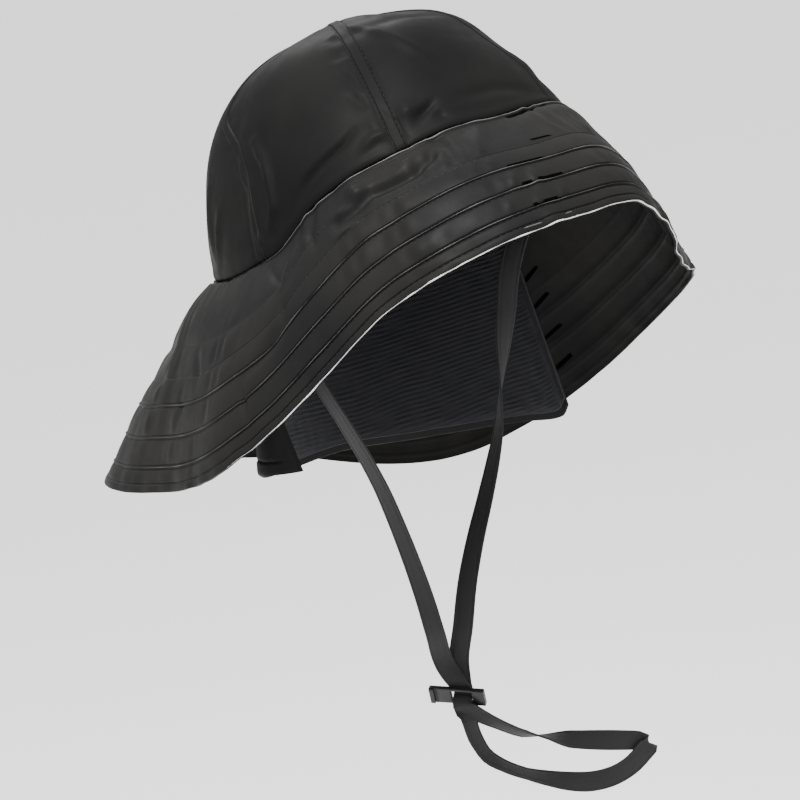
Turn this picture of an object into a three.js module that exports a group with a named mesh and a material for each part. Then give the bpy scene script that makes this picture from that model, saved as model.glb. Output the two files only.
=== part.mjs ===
// Sou'wester rain hat: a six-gore crown, a wide stitched brim that is longer behind than in front,
// a neck and ear flap with its knitted lining inside, and a tape chin strap with a slider.
// Millimetres. The wearer faces -Y, the wearer's left is +X, up is +Z.
// The origin is the middle of the head opening, in the plane of the seam between crown and brim.
// The crown, brim and flap are drawn square to that plane and then tipped back, front up, by PITCH.
// The strap and its slider hang plumb below them.
import * as THREE from 'three';

const PITCH = 23;                 // degrees that the hat is tipped back
const GAP = 0.3;                  // clearance between neighbouring pieces

// Seam between crown and brim: two half ellipses, with a gentle wave in height
const SEAM = { front: 95, back: 114, side: 87 };
const SEAM_WAVE = { once: 4, twice: 8, sideways: 3 };

// Crown
const CROWN = { height: 87, fullness: 0.74, taper: 0.05, apexBack: 9, wall: 1.4, tip: 1.4 };
const GORE_NAMES = ['front', 'front_left', 'back_left', 'back', 'back_right', 'front_right'];
const GORE_ANGLE = 360 / GORE_NAMES.length;
const GORE_SWELL = 2.6;           // how far a gore stands out between its seams
const SWELL_BALANCE = 0.6;        // share of the swell that the seams are drawn in by
const GORE_STEPS = { around: 8, up: 11 };

// Brim: how far its rim stands out from the seam and how far it drops below the seam's even wave,
// degrees from the front, and how far the seam itself lies above that wave there
const BRIM = { wall: 1.6, swell: 6, inside: -150, stepsAround: 72, stepsOut: 8 };
const BRIM_ROWS = [
  { at: 0, out: 43, drop: 62, shift: -4.3 },
  { at: 15, out: 40, drop: 62, shift: -2.4 },
  { at: 30, out: 31, drop: 67.5, shift: 1 },
  { at: 45, out: 25.5, drop: 74.5, shift: 0.5 },
  { at: 60, out: 29.5, drop: 75, shift: 0 },
  { at: 75, out: 41.5, drop: 72, shift: 0 },
  { at: 90, out: 54, drop: 73, shift: 0 },
  { at: 105, out: 63, drop: 80.5, shift: 0 },
  { at: 120, out: 70, drop: 93, shift: 0 },
  { at: 135, out: 68.5, drop: 107, shift: 0 },
  { at: 150, out: 56.5, drop: 115, shift: 0 },
  { at: 165, out: 50.5, drop: 108.5, shift: 0 },
  { at: 180, out: 66.5, drop: 89, shift: 0 },
  { at: 195, out: 92.5, drop: 72, shift: 0 },
  { at: 210, out: 99, drop: 70, shift: 0 },
  { at: 225, out: 79.5, drop: 78, shift: 0.5 },
  { at: 240, out: 58, drop: 85.5, shift: 0.3 },
  { at: 255, out: 51, drop: 89, shift: -2.2 },
  { at: 270, out: 50.5, drop: 89.5, shift: -3.9 },
  { at: 285, out: 43, drop: 84.5, shift: -5.3 },
  { at: 300, out: 33, drop: 73.5, shift: 0.8 },
  { at: 315, out: 31, drop: 64, shift: 1.6 },
  { at: 330, out: 36.5, drop: 62.5, shift: -0.8 },
  { at: 345, out: 42, drop: 62, shift: -1.9 },
];

// Flap: a band that hangs from just above the seam, round the back from ear to ear.
// Its lower edge lies this deep below the seam plane, and stands this far out there.
const FLAP = { inset: 2.6, above: 5, wall: 1, stepsAround: 50, stepsDown: 8 };
const LINING = { gap: 0.7, wall: 1.6, shortBelow: 0.03, shortAtEnds: 2 };
const FLAP_ROWS = [
  { at: 107.5, deep: 110, flare: 0 },
  { at: 113, deep: 117, flare: 1 },
  { at: 125, deep: 113, flare: 6 },
  { at: 137, deep: 108, flare: 9 },
  { at: 152, deep: 103, flare: 10 },
  { at: 180, deep: 96, flare: 10 },
  { at: 208, deep: 99, flare: 10 },
  { at: 224, deep: 101, flare: 12 },
  { at: 234, deep: 99.5, flare: 13 },
  { at: 242, deep: 103.5, flare: 9.5 },
  { at: 250, deep: 107.5, flare: -3 },
];

// Chin strap: a flat tape. Each leg hangs in the plane y = LEG_Y, and turn is the compass
// direction of the tape's width there, in degrees from +X
const TAPE = { width: 10, thick: 1, bevel: 0.3 };
const LEG_Y = -3;
const NEAR_LEG = [
  { x: -82.85, z: -6.4, turn: -90 },
  { x: -82.5, z: -11, turn: -90 },
  { x: -80.4, z: -20, turn: -89 },
  { x: -75, z: -34, turn: -86 },
  { x: -67.5, z: -54, turn: -83 },
  { x: -58.5, z: -76, turn: -80 },
  { x: -47.5, z: -97.5, turn: -77 },
  { x: -37, z: -119.5, turn: -74 },
  { x: -31, z: -134, turn: -72 },
  { x: -24.8, z: -153, turn: -68 },
  { x: -18.7, z: -174.5, turn: -61 },
  { x: -13.6, z: -195.5, turn: -52 },
  { x: -10, z: -214, turn: -43 },
];
const FAR_LEG = [
  { x: 83, z: 1.5, turn: -90 },
  { x: 82.4, z: -5, turn: -88 },
  { x: 78.5, z: -12, turn: -78 },
  { x: 71, z: -22, turn: -60 },
  { x: 64, z: -32, turn: -42 },
  { x: 57.5, z: -46, turn: -31 },
  { x: 53, z: -64, turn: -20 },
  { x: 49.3, z: -80, turn: 6 },
  { x: 46.3, z: -95, turn: 38 },
  { x: 43.4, z: -108, turn: 60 },
  { x: 40.6, z: -122, turn: 78 },
  { x: 35, z: -138, turn: 92 },
  { x: 28.3, z: -154, turn: 103 },
  { x: 19, z: -175, turn: 115 },
  { x: 12, z: -194, turn: 127 },
  { x: 6.5, z: -215, turn: 140 },
];

// Slider: a small plate with two slots. It faces the front right of the wearer, leans with its top
// outwards and is rolled a little. Heading, lean and roll are in degrees; the plate's lower and
// upper edges and its slots are given from its origin.
const SLIDER = {
  x: -1.3, y: -3, z: -247.4, heading: -54, lean: 24, roll: -4,
  width: 28, low: -6.3, high: 3.3, thick: 2.2, corner: 1.6, cornerSteps: 3,
};
const SLOTS = [
  { left: -3.4, right: 9.4, low: -4.9, high: -1.1 },
  { left: -3.4, right: 9.4, low: 0.7, high: 1.9 },
];

// The stretch of tape through the slider and round the loop, from the slider's origin: across, up
// and out, then the direction of the tape's width. Held rows are in the slider's own axes, the
// others in plumb axes that face HANG_HEADING.
const HANG_HEADING = -33;
const LOOP = [
  { across: -4, up: 14, out: -1.9, side: [1, 0, 0] },
  { held: true, across: 1.2, up: 3.2, out: -2.3, side: [1, 0, 0] },
  { held: true, across: 2.6, up: 0.4, out: -1.95, side: [1, 0, 0] },
  { held: true, across: 2.6, up: -1.3, out: -1.95, side: [1, 0, 0] },
  { held: true, across: 2.6, up: -2.05, out: -1, side: [1, 0, 0] },
  { held: true, across: 2.6, up: -2.3, out: 0.6, side: [1, 0, 0] },
  { held: true, across: 2.6, up: -3, out: 2.5, side: [1, 0, 0] },
  { held: true, across: 2.6, up: -4.4, out: 3.6, side: [1, 0, 0] },
  { across: 6, up: -9.2, out: 2.2, side: [0.74, 0.5, 0.45] },
  { across: 10.2, up: -12.6, out: 2, side: [0.6, 0.6, 0.52] },
  { across: 18.7, up: -18.4, out: 1.3, side: [0.3, 0.66, 0.68] },
  { across: 30.5, up: -25.2, out: 0, side: [0.21, 0.6, 0.77] },
  { across: 41.5, up: -28.3, out: -0.4, side: [0.04, 0.13, 0.99] },
  { across: 52.5, up: -31, out: -0.6, side: [-0.2, -0.6, 0.77] },
  { across: 66.5, up: -33.3, out: -0.8, side: [-0.12, -0.86, 0.5] },
  { across: 79, up: -35, out: -0.9, side: [-0.1, -0.98, 0.17] },
  { across: 86.5, up: -36.2, out: -1.1, side: [0.3, -0.95, 0] },
  { across: 90.8, up: -37.4, out: -1, side: [0.6, -0.8, 0] },
  { across: 91.9, up: -38, out: 0, side: [0.64, -0.77, 0] },
  { across: 91, up: -38.9, out: 1, side: [0.66, -0.75, 0] },
  { across: 88, up: -41.8, out: 1.1, side: [0.66, -0.75, 0] },
  { across: 83, up: -46.6, out: 1, side: [0.6, -0.8, 0] },
  { across: 73.5, up: -52, out: 0.6, side: [0.3, -0.95, 0.1] },
  { across: 61, up: -54.2, out: 0.2, side: [0.02, -0.94, 0.34] },
  { across: 50.5, up: -52.9, out: 0, side: [-0.15, -0.75, 0.64] },
  { across: 41, up: -50.3, out: 0, side: [-0.1, -0.49, 0.87] },
  { across: 30, up: -46.4, out: 0, side: [-0.1, -0.22, 0.97] },
  { across: 18.8, up: -40.6, out: -0.1, side: [-0.2, -0.24, 0.95] },
  { across: 10.8, up: -34, out: -0.2, side: [-0.4, -0.3, 0.85] },
  { across: 7.8, up: -28, out: -0.2, side: [-0.5, -0.3, 0.8] },
  { across: 6, up: -23.1, out: -0.2, side: [-0.6, -0.3, 0.75] },
  { across: 4.9, up: -17.6, out: 0, side: [-0.66, -0.2, 0.7] },
  { across: 4, up: -11.5, out: 0.2, side: [-0.8, -0.1, 0.55] },
  { held: true, across: 2.2, up: -6.6, out: 2.35, side: [-1, 0, 0] },
  { held: true, across: 2.2, up: -4.8, out: 1.95, side: [-1, 0, 0] },
  { held: true, across: 2.2, up: -3.8, out: 0.8, side: [-1, 0, 0] },
  { held: true, across: 2.2, up: -3.65, out: -0.6, side: [-1, 0, 0] },
  { held: true, across: 2.2, up: -3.3, out: -2.2, side: [-1, 0, 0] },
  { held: true, across: 2.2, up: -1.9, out: -3.25, side: [-1, 0, 0] },
  { held: true, across: 2.2, up: 3.8, out: -3.3, side: [-1, 0, 0] },
  { across: 2.6, up: 14, out: -3.3, side: [-1, 0, 0] },
];

// Colours and finish
const BRIM_BLACK = { color: 0x2b2c2b, roughness: 0.42, metalness: 0 };
const CROWN_BLACK = { color: 0x262728, roughness: 0.42, metalness: 0 };
const LINING_BLACK = { color: 0x17181b, roughness: 0.95, metalness: 0 };
const TAPE_GREY = { color: 0x3b3b3c, roughness: 0.8, metalness: 0 };
const SLIDER_GREY = { color: 0x37373a, roughness: 0.45, metalness: 0 };

const radians = THREE.MathUtils.degToRad;
const turnOf = (angle) => ((angle % 360) + 360) % 360;

// Value of one column of a table at an angle, smooth through its rows
function column(rows, angle, name, period = 0) {
  const count = rows.length;
  const row = (index) => {
    if (!period) return rows[Math.min(Math.max(index, 0), count - 1)];
    const turns = Math.floor(index / count);
    const found = rows[index - turns * count];
    return { ...found, at: found.at + turns * period };
  };
  let first = 0;
  while (first < (period ? count - 1 : count - 2) && row(first + 1).at <= angle) first += 1;
  const [before, start, end, after] = [-1, 0, 1, 2].map((step) => row(first + step));
  const share = THREE.MathUtils.clamp((angle - start.at) / (end.at - start.at), 0, 1);
  const slopeIn = (end[name] - before[name]) / 2;
  const slopeOut = (after[name] - start[name]) / 2;
  const square = share * share;
  const cube = square * share;
  return (2 * cube - 3 * square + 1) * start[name] + (cube - 2 * square + share) * slopeIn
    + (3 * square - 2 * cube) * end[name] + (cube - square) * slopeOut;
}

// Point of the crown and brim seam at an angle from the front, towards the wearer's left
function seamPoint(angle, inset = 0) {
  const turn = radians(angle);
  const length = Math.cos(turn) > 0 ? SEAM.front : SEAM.back;
  const height = SEAM_WAVE.once * Math.cos(turn) + SEAM_WAVE.twice * Math.cos(2 * turn)
    + SEAM_WAVE.sideways * Math.sin(turn) + column(BRIM_ROWS, turnOf(angle), 'shift', 360);
  return new THREE.Vector3(
    (SEAM.side - inset) * Math.sin(turn), -(length - inset) * Math.cos(turn), height);
}

// Level direction that points straight out of the seam
function seamOutward(angle) {
  const turn = radians(angle);
  const length = Math.cos(turn) > 0 ? SEAM.front : SEAM.back;
  return new THREE.Vector3(Math.sin(turn) / SEAM.side, -Math.cos(turn) / length, 0).normalize();
}

// Outer face of the crown: rise runs from 0 at the seam to 1 at the apex
function crownPoint(angle, rise) {
  const tilt = rise * Math.PI / 2;
  const reach = Math.cos(tilt) ** CROWN.fullness * (1 - CROWN.taper * Math.sin(2 * tilt));
  const lift = Math.sin(tilt);
  const seam = seamPoint(angle);
  const fromSeam = Math.abs(Math.sin(radians(3 * (angle - GORE_ANGLE / 2))));
  const swell = GORE_SWELL * (fromSeam - SWELL_BALANCE) * Math.sin(2 * tilt);
  const point = new THREE.Vector3(
    seam.x * reach, seam.y * reach + CROWN.apexBack * lift,
    seam.z * (1 - lift) + CROWN.height * lift);
  return point.addScaledVector(seamOutward(angle), swell);
}

// Outer face of the brim: share runs from 0 at the seam to 1 at the rim
function brimPoint(angle, share) {
  const out = column(BRIM_ROWS, turnOf(angle), 'out', 360);
  const drop = column(BRIM_ROWS, turnOf(angle), 'drop', 360);
  const shift = column(BRIM_ROWS, turnOf(angle), 'shift', 360);
  const length = Math.hypot(out, drop);
  const swell = BRIM.swell * 4 * share * (1 - share);
  return seamPoint(angle)
    .addScaledVector(seamOutward(angle), out * share + swell * drop / length)
    .add(new THREE.Vector3(0, 0, swell * out / length - (drop + shift) * share));
}

// Outer face of the flap, sunk by depth: share runs from 0 at its top to 1 at its lower edge
function flapPoint(angle, share, depth) {
  const deep = column(FLAP_ROWS, angle, 'deep');
  const flare = column(FLAP_ROWS, angle, 'flare');
  const top = seamPoint(angle, FLAP.inset + depth);
  const height = (top.z + FLAP.above) * (1 - share) - deep * share;
  return new THREE.Vector3(top.x, top.y, height)
    .addScaledVector(seamOutward(angle), flare * share * share);
}

// Closed wall between an outer and an inner grid of points, with the rims joined.
// A ring meets itself round its columns.
function wallGeometry(outer, inner, columns, rows, ring) {
  const across = ring ? columns : columns + 1;
  const positions = [];
  for (const face of [outer, inner]) {
    for (let row = 0; row <= rows; row += 1) {
      for (let step = 0; step < across; step += 1) positions.push(...face(step / columns, row / rows));
    }
  }
  const layer = across * (rows + 1);
  const at = (side, row, step) => side * layer + row * across + (step % across);
  const index = [];
  const quad = (a, b, c, d) => index.push(a, b, c, a, c, d);
  for (let row = 0; row < rows; row += 1) {
    for (let step = 0; step < columns; step += 1) {
      quad(at(0, row, step), at(0, row, step + 1), at(0, row + 1, step + 1), at(0, row + 1, step));
      quad(at(1, row, step), at(1, row + 1, step), at(1, row + 1, step + 1), at(1, row, step + 1));
    }
    if (!ring) {
      quad(at(0, row, 0), at(0, row + 1, 0), at(1, row + 1, 0), at(1, row, 0));
      quad(at(0, row, columns), at(1, row, columns), at(1, row + 1, columns), at(0, row + 1, columns));
    }
  }
  for (let step = 0; step < columns; step += 1) {
    quad(at(0, 0, step), at(1, 0, step), at(1, 0, step + 1), at(0, 0, step + 1));
    quad(at(0, rows, step), at(0, rows, step + 1), at(1, rows, step + 1), at(1, rows, step));
  }
  return closedGeometry(positions, index);
}

// Geometry whose faces point out: a body with a negative volume is turned round
function closedGeometry(positions, index) {
  const point = (corner) => new THREE.Vector3().fromArray(positions, 3 * corner);
  let volume = 0;
  for (let i = 0; i < index.length; i += 3) {
    volume += point(index[i]).dot(point(index[i + 1]).cross(point(index[i + 2])));
  }
  if (volume < 0) index.reverse();
  const geometry = new THREE.BufferGeometry();
  geometry.setAttribute('position', new THREE.Float32BufferAttribute(positions, 3));
  geometry.setIndex(index);
  geometry.computeVertexNormals();
  return geometry;
}

// Inner face of a wall: the outer face moved in along its own normal
const SLOPE_STEP = 0.01;          // share of a face over which its slope is taken
function inward(face, wall, middle) {
  return (u, v) => {
    const alongU = face(u + SLOPE_STEP, v).sub(face(u - SLOPE_STEP, v));
    const [low, high] = [Math.max(v - SLOPE_STEP, 0), Math.min(v + SLOPE_STEP, 1)];
    const alongV = face(u, high).sub(face(u, low));
    const normal = alongU.cross(alongV).normalize();
    const point = face(u, v);
    if (normal.dot(point.clone().sub(middle)) < 0) normal.negate();
    return point.addScaledVector(normal, -wall);
  };
}

function material(finish) {
  return new THREE.MeshStandardMaterial(finish);
}

function namedMesh(name, geometry, finish) {
  const mesh = new THREE.Mesh(geometry, material(finish));
  mesh.name = name;
  return mesh;
}

// One of the six gores, with half the clearance taken off each long edge. SEAM_SLANT allows for
// seams that run aslant to the width across which the clearance is taken.
const SEAM_SLANT = 1.25;
function crownGore(name, middle) {
  const highest = 1 - 2 / Math.PI * (CROWN.tip / SEAM.side) ** (1 / CROWN.fullness);
  const lift = GAP / CROWN.height;
  const face = (u, v) => {
    const rise = lift + (highest - lift) * v;
    const radius = SEAM.side * Math.cos(rise * Math.PI / 2) ** CROWN.fullness;
    const margin = THREE.MathUtils.radToDeg(GAP / 2 / radius) * SEAM_SLANT;
    return crownPoint(middle + (GORE_ANGLE - 2 * margin) * (u - 0.5), rise);
  };
  const centre = new THREE.Vector3(0, 0, 0);
  const geometry = wallGeometry(
    face, inward(face, CROWN.wall, centre), GORE_STEPS.around, GORE_STEPS.up, false);
  return namedMesh(`crown_gore_${name}`, geometry, CROWN_BLACK);
}

function brim() {
  const face = (u, v) => brimPoint(360 * u, v);
  const below = new THREE.Vector3(0, 0, BRIM.inside);
  const geometry = wallGeometry(
    face, inward(face, BRIM.wall, below), BRIM.stepsAround, BRIM.stepsOut, true);
  return namedMesh('brim', geometry, BRIM_BLACK);
}

// The flap's cloth and its lining are two bands, one inside the other.
// A band stops short of the flap's lower edge by a share of its height, and of its ends by degrees.
function flapBand(name, depth, wall, shortBelow, shortAtEnds, finish) {
  const first = FLAP_ROWS[0].at + shortAtEnds;
  const last = FLAP_ROWS[FLAP_ROWS.length - 1].at - shortAtEnds;
  const face = (sunk) => (u, v) => (
    flapPoint(first + (last - first) * u, v * (1 - shortBelow), sunk));
  const geometry = wallGeometry(
    face(depth), face(depth + wall), FLAP.stepsAround, FLAP.stepsDown, false);
  return namedMesh(name, geometry, finish);
}

// Axes across, up and out of a face with a compass heading. A lean brings its top outwards, and a
// roll lifts the end that across points to.
function axes(heading, lean = 0, roll = 0) {
  const level = new THREE.Vector3(Math.cos(radians(heading)), Math.sin(radians(heading)), 0);
  const plumb = new THREE.Vector3(0, 0, 1);
  const leaning = plumb.clone().multiplyScalar(Math.cos(radians(lean)))
    .addScaledVector(level.clone().cross(plumb), Math.sin(radians(lean)));
  const [cosine, sine] = [Math.cos(radians(roll)), Math.sin(radians(roll))];
  const across = level.clone().multiplyScalar(cosine).addScaledVector(leaning, sine);
  const up = leaning.clone().multiplyScalar(cosine).addScaledVector(level, -sine);
  return { across, up, out: across.clone().cross(up) };
}

function strapSlider() {
  const shape = new THREE.Shape();
  const { width, low, high, thick, corner } = SLIDER;
  const [right, top, bottom] = [width / 2 - corner, high - corner, low + corner];
  shape.moveTo(-right, low);
  shape.absarc(right, bottom, corner, radians(-90), 0);
  shape.absarc(right, top, corner, 0, radians(90));
  shape.absarc(-right, top, corner, radians(90), radians(180));
  shape.absarc(-right, bottom, corner, radians(180), radians(270));
  for (const slot of SLOTS) {
    const hole = new THREE.Path();
    hole.moveTo(slot.left, slot.low);
    hole.lineTo(slot.left, slot.high);
    hole.lineTo(slot.right, slot.high);
    hole.lineTo(slot.right, slot.low);
    hole.closePath();
    shape.holes.push(hole);
  }
  const geometry = new THREE.ExtrudeGeometry(
    shape, { depth: thick, bevelEnabled: false, curveSegments: SLIDER.cornerSteps });
  geometry.translate(0, 0, -thick / 2);
  const mesh = namedMesh('strap_slider', geometry, SLIDER_GREY);
  const { across, up, out } = axes(SLIDER.heading, SLIDER.lean, SLIDER.roll);
  mesh.quaternion.setFromRotationMatrix(new THREE.Matrix4().makeBasis(across, up, out));
  mesh.position.set(SLIDER.x, SLIDER.y, SLIDER.z);
  return mesh;
}

// The tape's whole route, from the near ear through the slider, round the loop and back up
function strapRoute() {
  const plumb = axes(HANG_HEADING);
  const tilted = axes(SLIDER.heading, SLIDER.lean, SLIDER.roll);
  const combine = (frame, a, b, c) => new THREE.Vector3()
    .addScaledVector(frame.across, a).addScaledVector(frame.up, b).addScaledVector(frame.out, c);
  const middle = new THREE.Vector3(SLIDER.x, SLIDER.y, SLIDER.z);
  const leg = ({ x, z, turn }) => ({
    point: new THREE.Vector3(x, LEG_Y, z),
    side: new THREE.Vector3(Math.cos(radians(turn)), Math.sin(radians(turn)), 0),
  });
  const loop = ({ held, across, up, out, side }) => {
    const frame = held ? tilted : plumb;
    return { point: combine(frame, across, up, out).add(middle), side: combine(frame, ...side) };
  };
  return [...NEAR_LEG.map(leg), ...LOOP.map(loop), ...FAR_LEG.map(leg).reverse()];
}

function chinStrap() {
  const route = strapRoute();
  const [width, thick, bevel] = [TAPE.width / 2, TAPE.thick / 2, TAPE.bevel];
  const quarter = [[width, thick - bevel], [width - bevel, thick]];
  const section = [
    ...quarter, ...quarter.map(([a, b]) => [-a, b]).reverse(),
    ...quarter.map(([a, b]) => [-a, -b]), ...quarter.map(([a, b]) => [a, -b]).reverse(),
  ];
  const positions = [];
  const index = [];
  const sides = section.length;
  route.forEach(({ point, side }, i) => {
    const before = route[Math.max(i - 1, 0)].point;
    const after = route[Math.min(i + 1, route.length - 1)].point;
    const along = after.clone().sub(point).normalize()
      .add(point.clone().sub(before).normalize()).normalize();
    const wide = side.clone().addScaledVector(along, -side.dot(along)).normalize();
    const flat = new THREE.Vector3().crossVectors(along, wide);
    for (const [a, b] of section) {
      positions.push(...point.clone().addScaledVector(wide, a).addScaledVector(flat, b));
    }
    if (i === 0) return;
    for (let corner = 0; corner < sides; corner += 1) {
      const next = (corner + 1) % sides;
      const [here, there] = [i * sides, (i - 1) * sides];
      index.push(there + corner, there + next, here + next);
      index.push(there + corner, here + next, here + corner);
    }
  });
  const last = (route.length - 1) * sides;
  for (let corner = 1; corner < sides - 1; corner += 1) {
    index.push(0, corner + 1, corner, last, last + corner, last + corner + 1);
  }
  return namedMesh('chin_strap', closedGeometry(positions, index), TAPE_GREY);
}

const hat = new THREE.Group();
hat.rotation.x = -radians(PITCH);
GORE_NAMES.forEach((name, i) => hat.add(crownGore(name, GORE_ANGLE * i)));
hat.add(brim());
hat.add(flapBand('ear_flap_shell', 0, FLAP.wall, 0, 0, BRIM_BLACK));
hat.add(flapBand('ear_flap_lining', FLAP.wall + LINING.gap, LINING.wall,
  LINING.shortBelow, LINING.shortAtEnds, LINING_BLACK));

const group = new THREE.Group();
group.add(hat, chinStrap(), strapSlider());

export default group;
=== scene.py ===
"""Sou'wester rain hat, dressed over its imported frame.

The crown, brim and flap are drawn square to the seam between crown and brim, in millimetres, and
then tipped back. The strap hangs plumb. Angles run round the seam in degrees from the front
towards the wearer's left. A share runs from the seam to the rim, or down the flap.
"""
import logging
import math
from dataclasses import dataclass
from enum import Enum
from typing import Callable, Sequence

import bpy
import numpy as np
from mathutils import Matrix, Vector


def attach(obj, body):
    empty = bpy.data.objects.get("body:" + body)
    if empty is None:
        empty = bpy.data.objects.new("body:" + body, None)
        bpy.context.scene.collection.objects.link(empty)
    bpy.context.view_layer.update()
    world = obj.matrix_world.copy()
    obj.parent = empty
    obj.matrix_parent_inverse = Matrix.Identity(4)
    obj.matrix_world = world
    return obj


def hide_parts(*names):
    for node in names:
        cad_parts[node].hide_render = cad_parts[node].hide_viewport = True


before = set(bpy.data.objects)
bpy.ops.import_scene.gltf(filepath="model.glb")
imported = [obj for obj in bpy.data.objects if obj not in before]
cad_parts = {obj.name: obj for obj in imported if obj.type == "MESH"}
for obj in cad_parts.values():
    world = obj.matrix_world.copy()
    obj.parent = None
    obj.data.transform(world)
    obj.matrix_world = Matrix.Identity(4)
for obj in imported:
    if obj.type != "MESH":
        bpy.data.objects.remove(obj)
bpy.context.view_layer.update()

log = logging.getLogger("rain_hat")

MM = 0.001
GORES = ("front", "front_left", "back_left", "back", "back_right", "front_right")
HAT_MIDDLE = (0, 0, -0.05)
Array = np.ndarray
Colour = tuple[float, float, float]


class Section(Enum):
    """Edge of a stitched row: one line of stitches, or two with a ridge between."""

    SINGLE = 1
    DOUBLE = 2


@dataclass(frozen=True)
class BrimRow:
    """The brim at an angle.

    out is how far the rim stands out from the seam, drop how far it lies below the seam's even
    wave, and shift how far the seam itself lies above that wave.
    """

    at: float
    out: float
    drop: float
    shift: float = 0.0


@dataclass(frozen=True)
class FlapRow:
    """How deep the flap hangs and how far it stands out at its lower edge, at an angle."""

    at: float
    deep: float
    flare: float


@dataclass(frozen=True)
class StitchRow:
    """A row of stitching, by its distance from the rim where the brim is 75 mm long."""

    from_rim: float
    section: Section
    strength: float = 1.0


@dataclass(frozen=True)
class Fold:
    """A fold in the cloth along a line of places, each an angle and a share.

    height is above the cloth, negative for a crease, and width is its half width.
    """

    places: tuple[tuple[float, float], ...]
    height: float
    width: float


@dataclass(frozen=True)
class Swell:
    """A broad swelling of the cloth round one place, with its half widths in degrees and share."""

    at: float
    share: float
    height: float
    degrees: float
    tall: float


@dataclass(frozen=True)
class Backtack:
    """A short bar of close threads on the brim, from one angle and share to another.

    The outer bars are threads coloured near black, which also paints the deep shadow in the rows' valleys. An
    inner bar lies on the brim's inner face and is painted shadow only, a near-black mark where the rows pass
    behind the lining. A frayed one is drawn light, in the painted highlight finish.
    """

    start: tuple[float, float]
    end: tuple[float, float]
    width: float
    inner: bool = False
    frayed: bool = False


@dataclass(frozen=True)
class LegRow:
    """A place on a leg of the strap, and the compass direction of the tape's width there."""

    x: float
    z: float
    turn: float


@dataclass(frozen=True)
class LoopRow:
    """A place on the strap from the slider's origin, and the direction of the tape's width there.

    Held rows are in the slider's own axes, the others in plumb axes.
    """

    across: float
    up: float
    out: float
    side: tuple[float, float, float]
    held: bool = False


BRIM_ROWS = (
    BrimRow(0, 43, 62, -4.3), BrimRow(15, 40, 62, -2.4), BrimRow(30, 31, 67.5, 1),
    BrimRow(45, 25.5, 74.5, 0.5),
    BrimRow(60, 29.5, 75), BrimRow(75, 41.5, 72), BrimRow(90, 54, 73), BrimRow(105, 63, 80.5),
    BrimRow(120, 70, 93), BrimRow(135, 68.5, 107), BrimRow(150, 56.5, 115), BrimRow(165, 50.5, 108.5),
    BrimRow(180, 66.5, 89), BrimRow(195, 92.5, 72), BrimRow(210, 99, 70), BrimRow(225, 79.5, 78, 0.5),
    BrimRow(240, 58, 85.5, 0.3), BrimRow(255, 51, 89, -2.2), BrimRow(270, 50.5, 89.5, -3.9),
    BrimRow(285, 43, 84.5, -5.3), BrimRow(300, 33, 73.5, 0.8), BrimRow(315, 31, 64, 1.6),
    BrimRow(330, 36.5, 62.5, -0.8), BrimRow(345, 42, 62, -1.9),
)

FLAP_ROWS = (
    FlapRow(107.5, 110, 0), FlapRow(113, 117, 1), FlapRow(125, 113, 6), FlapRow(137, 108, 9),
    FlapRow(152, 103, 10), FlapRow(180, 96, 10), FlapRow(208, 99, 10), FlapRow(224, 101, 12),
    FlapRow(234, 99.5, 13), FlapRow(242, 103.5, 9.5), FlapRow(250, 107.5, -3),
)

STITCH_ROWS = (
    StitchRow(3.4, Section.SINGLE), StitchRow(9.8, Section.DOUBLE), StitchRow(21.8, Section.DOUBLE),
    StitchRow(34.8, Section.DOUBLE), StitchRow(46, Section.SINGLE, 0.4), StitchRow(60, Section.SINGLE, 0.3),
)

CROWN_FOLDS = (
    Fold(((-29.5, 0.749), (-25, 0.641), (-19.5, 0.564), (-15.5, 0.47), (-11.5, 0.383), (-8.5, 0.334)),
         1.4, 2.8),
    Fold(((-38.5, 0.53), (-37.5, 0.452)), -1.0, 1.6),
    Fold(((-40, 0.417), (-35.5, 0.316)), -1.1, 1.6),
    Fold(((-38.5, 0.292), (-35, 0.208)), -1.1, 1.6),
    Fold(((-30.5, 0.184), (-28, 0.115), (-27.5, 0.021)), -0.5, 0.6),
    Fold(((-15.5, 0.126), (-18, 0.108), (-20.5, 0.098), (-23, 0.072)), -2.6, 1.6),
    Fold(((-16, 0.081), (-14.5, 0.045)), -1.8, 1.2),
    Fold(((-26, 0.128), (-22, 0.131)), 2.2, 3.6),
    Fold(((-41, 0.147), (-45.5, 0.118), (-59, 0.09), (-63, 0.063)), -2.5, 1.6),
    Fold(((-40, 0.068), (-36.5, 0.09), (-33, 0.086)), 2.1, 1.8),
    Fold(((-35, 0.146), (-32, 0.05)), 1.1, 1.6),
    Fold(((-78, 0.357), (-73.5, 0.261), (-72.5, 0.192), (-73.5, 0.116), (-77, 0.08)), 2.8, 2.4),
    Fold(((-91.5, 0.313), (-82.5, 0.222), (-84, 0.108)), 1.0, 2.2),
    Fold(((-104, 0.216), (-109.5, 0.063)), 1.3, 2.4),
    Fold(((-84, 0.076), (-80.5, 0.034)), 1.2, 1.8),
    Fold(((-114, 0.346), (-112, 0.056)), 1.4, 4.0),
    Fold(((18, 0.579), (1.5, 0.618), (-32, 0.562)), -1.2, 4.5),
    Fold(((35.5, 0.267), (29, 0.161)), 1.6, 6.0),
    Fold(((20.5, 0.07), (6.5, 0.115), (-7.5, 0.114)), -1.1, 3.0),
    Fold(((62, 0.3), (58, 0.05)), -1.6, 5.0),
    Fold(((98, 0.3), (94, 0.04)), 1.7, 4.0),
    Fold(((122, 0.3), (116, 0.06)), -1.5, 4.0),
    Fold(((150, 0.3), (156, 0.16), (152, 0.04)), 1.4, 3.5),
    Fold(((170, 0.32), (160, 0.05)), -1.5, 4.0),
    Fold(((205, 0.28), (214, 0.05)), 1.6, 4.0),
)
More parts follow.
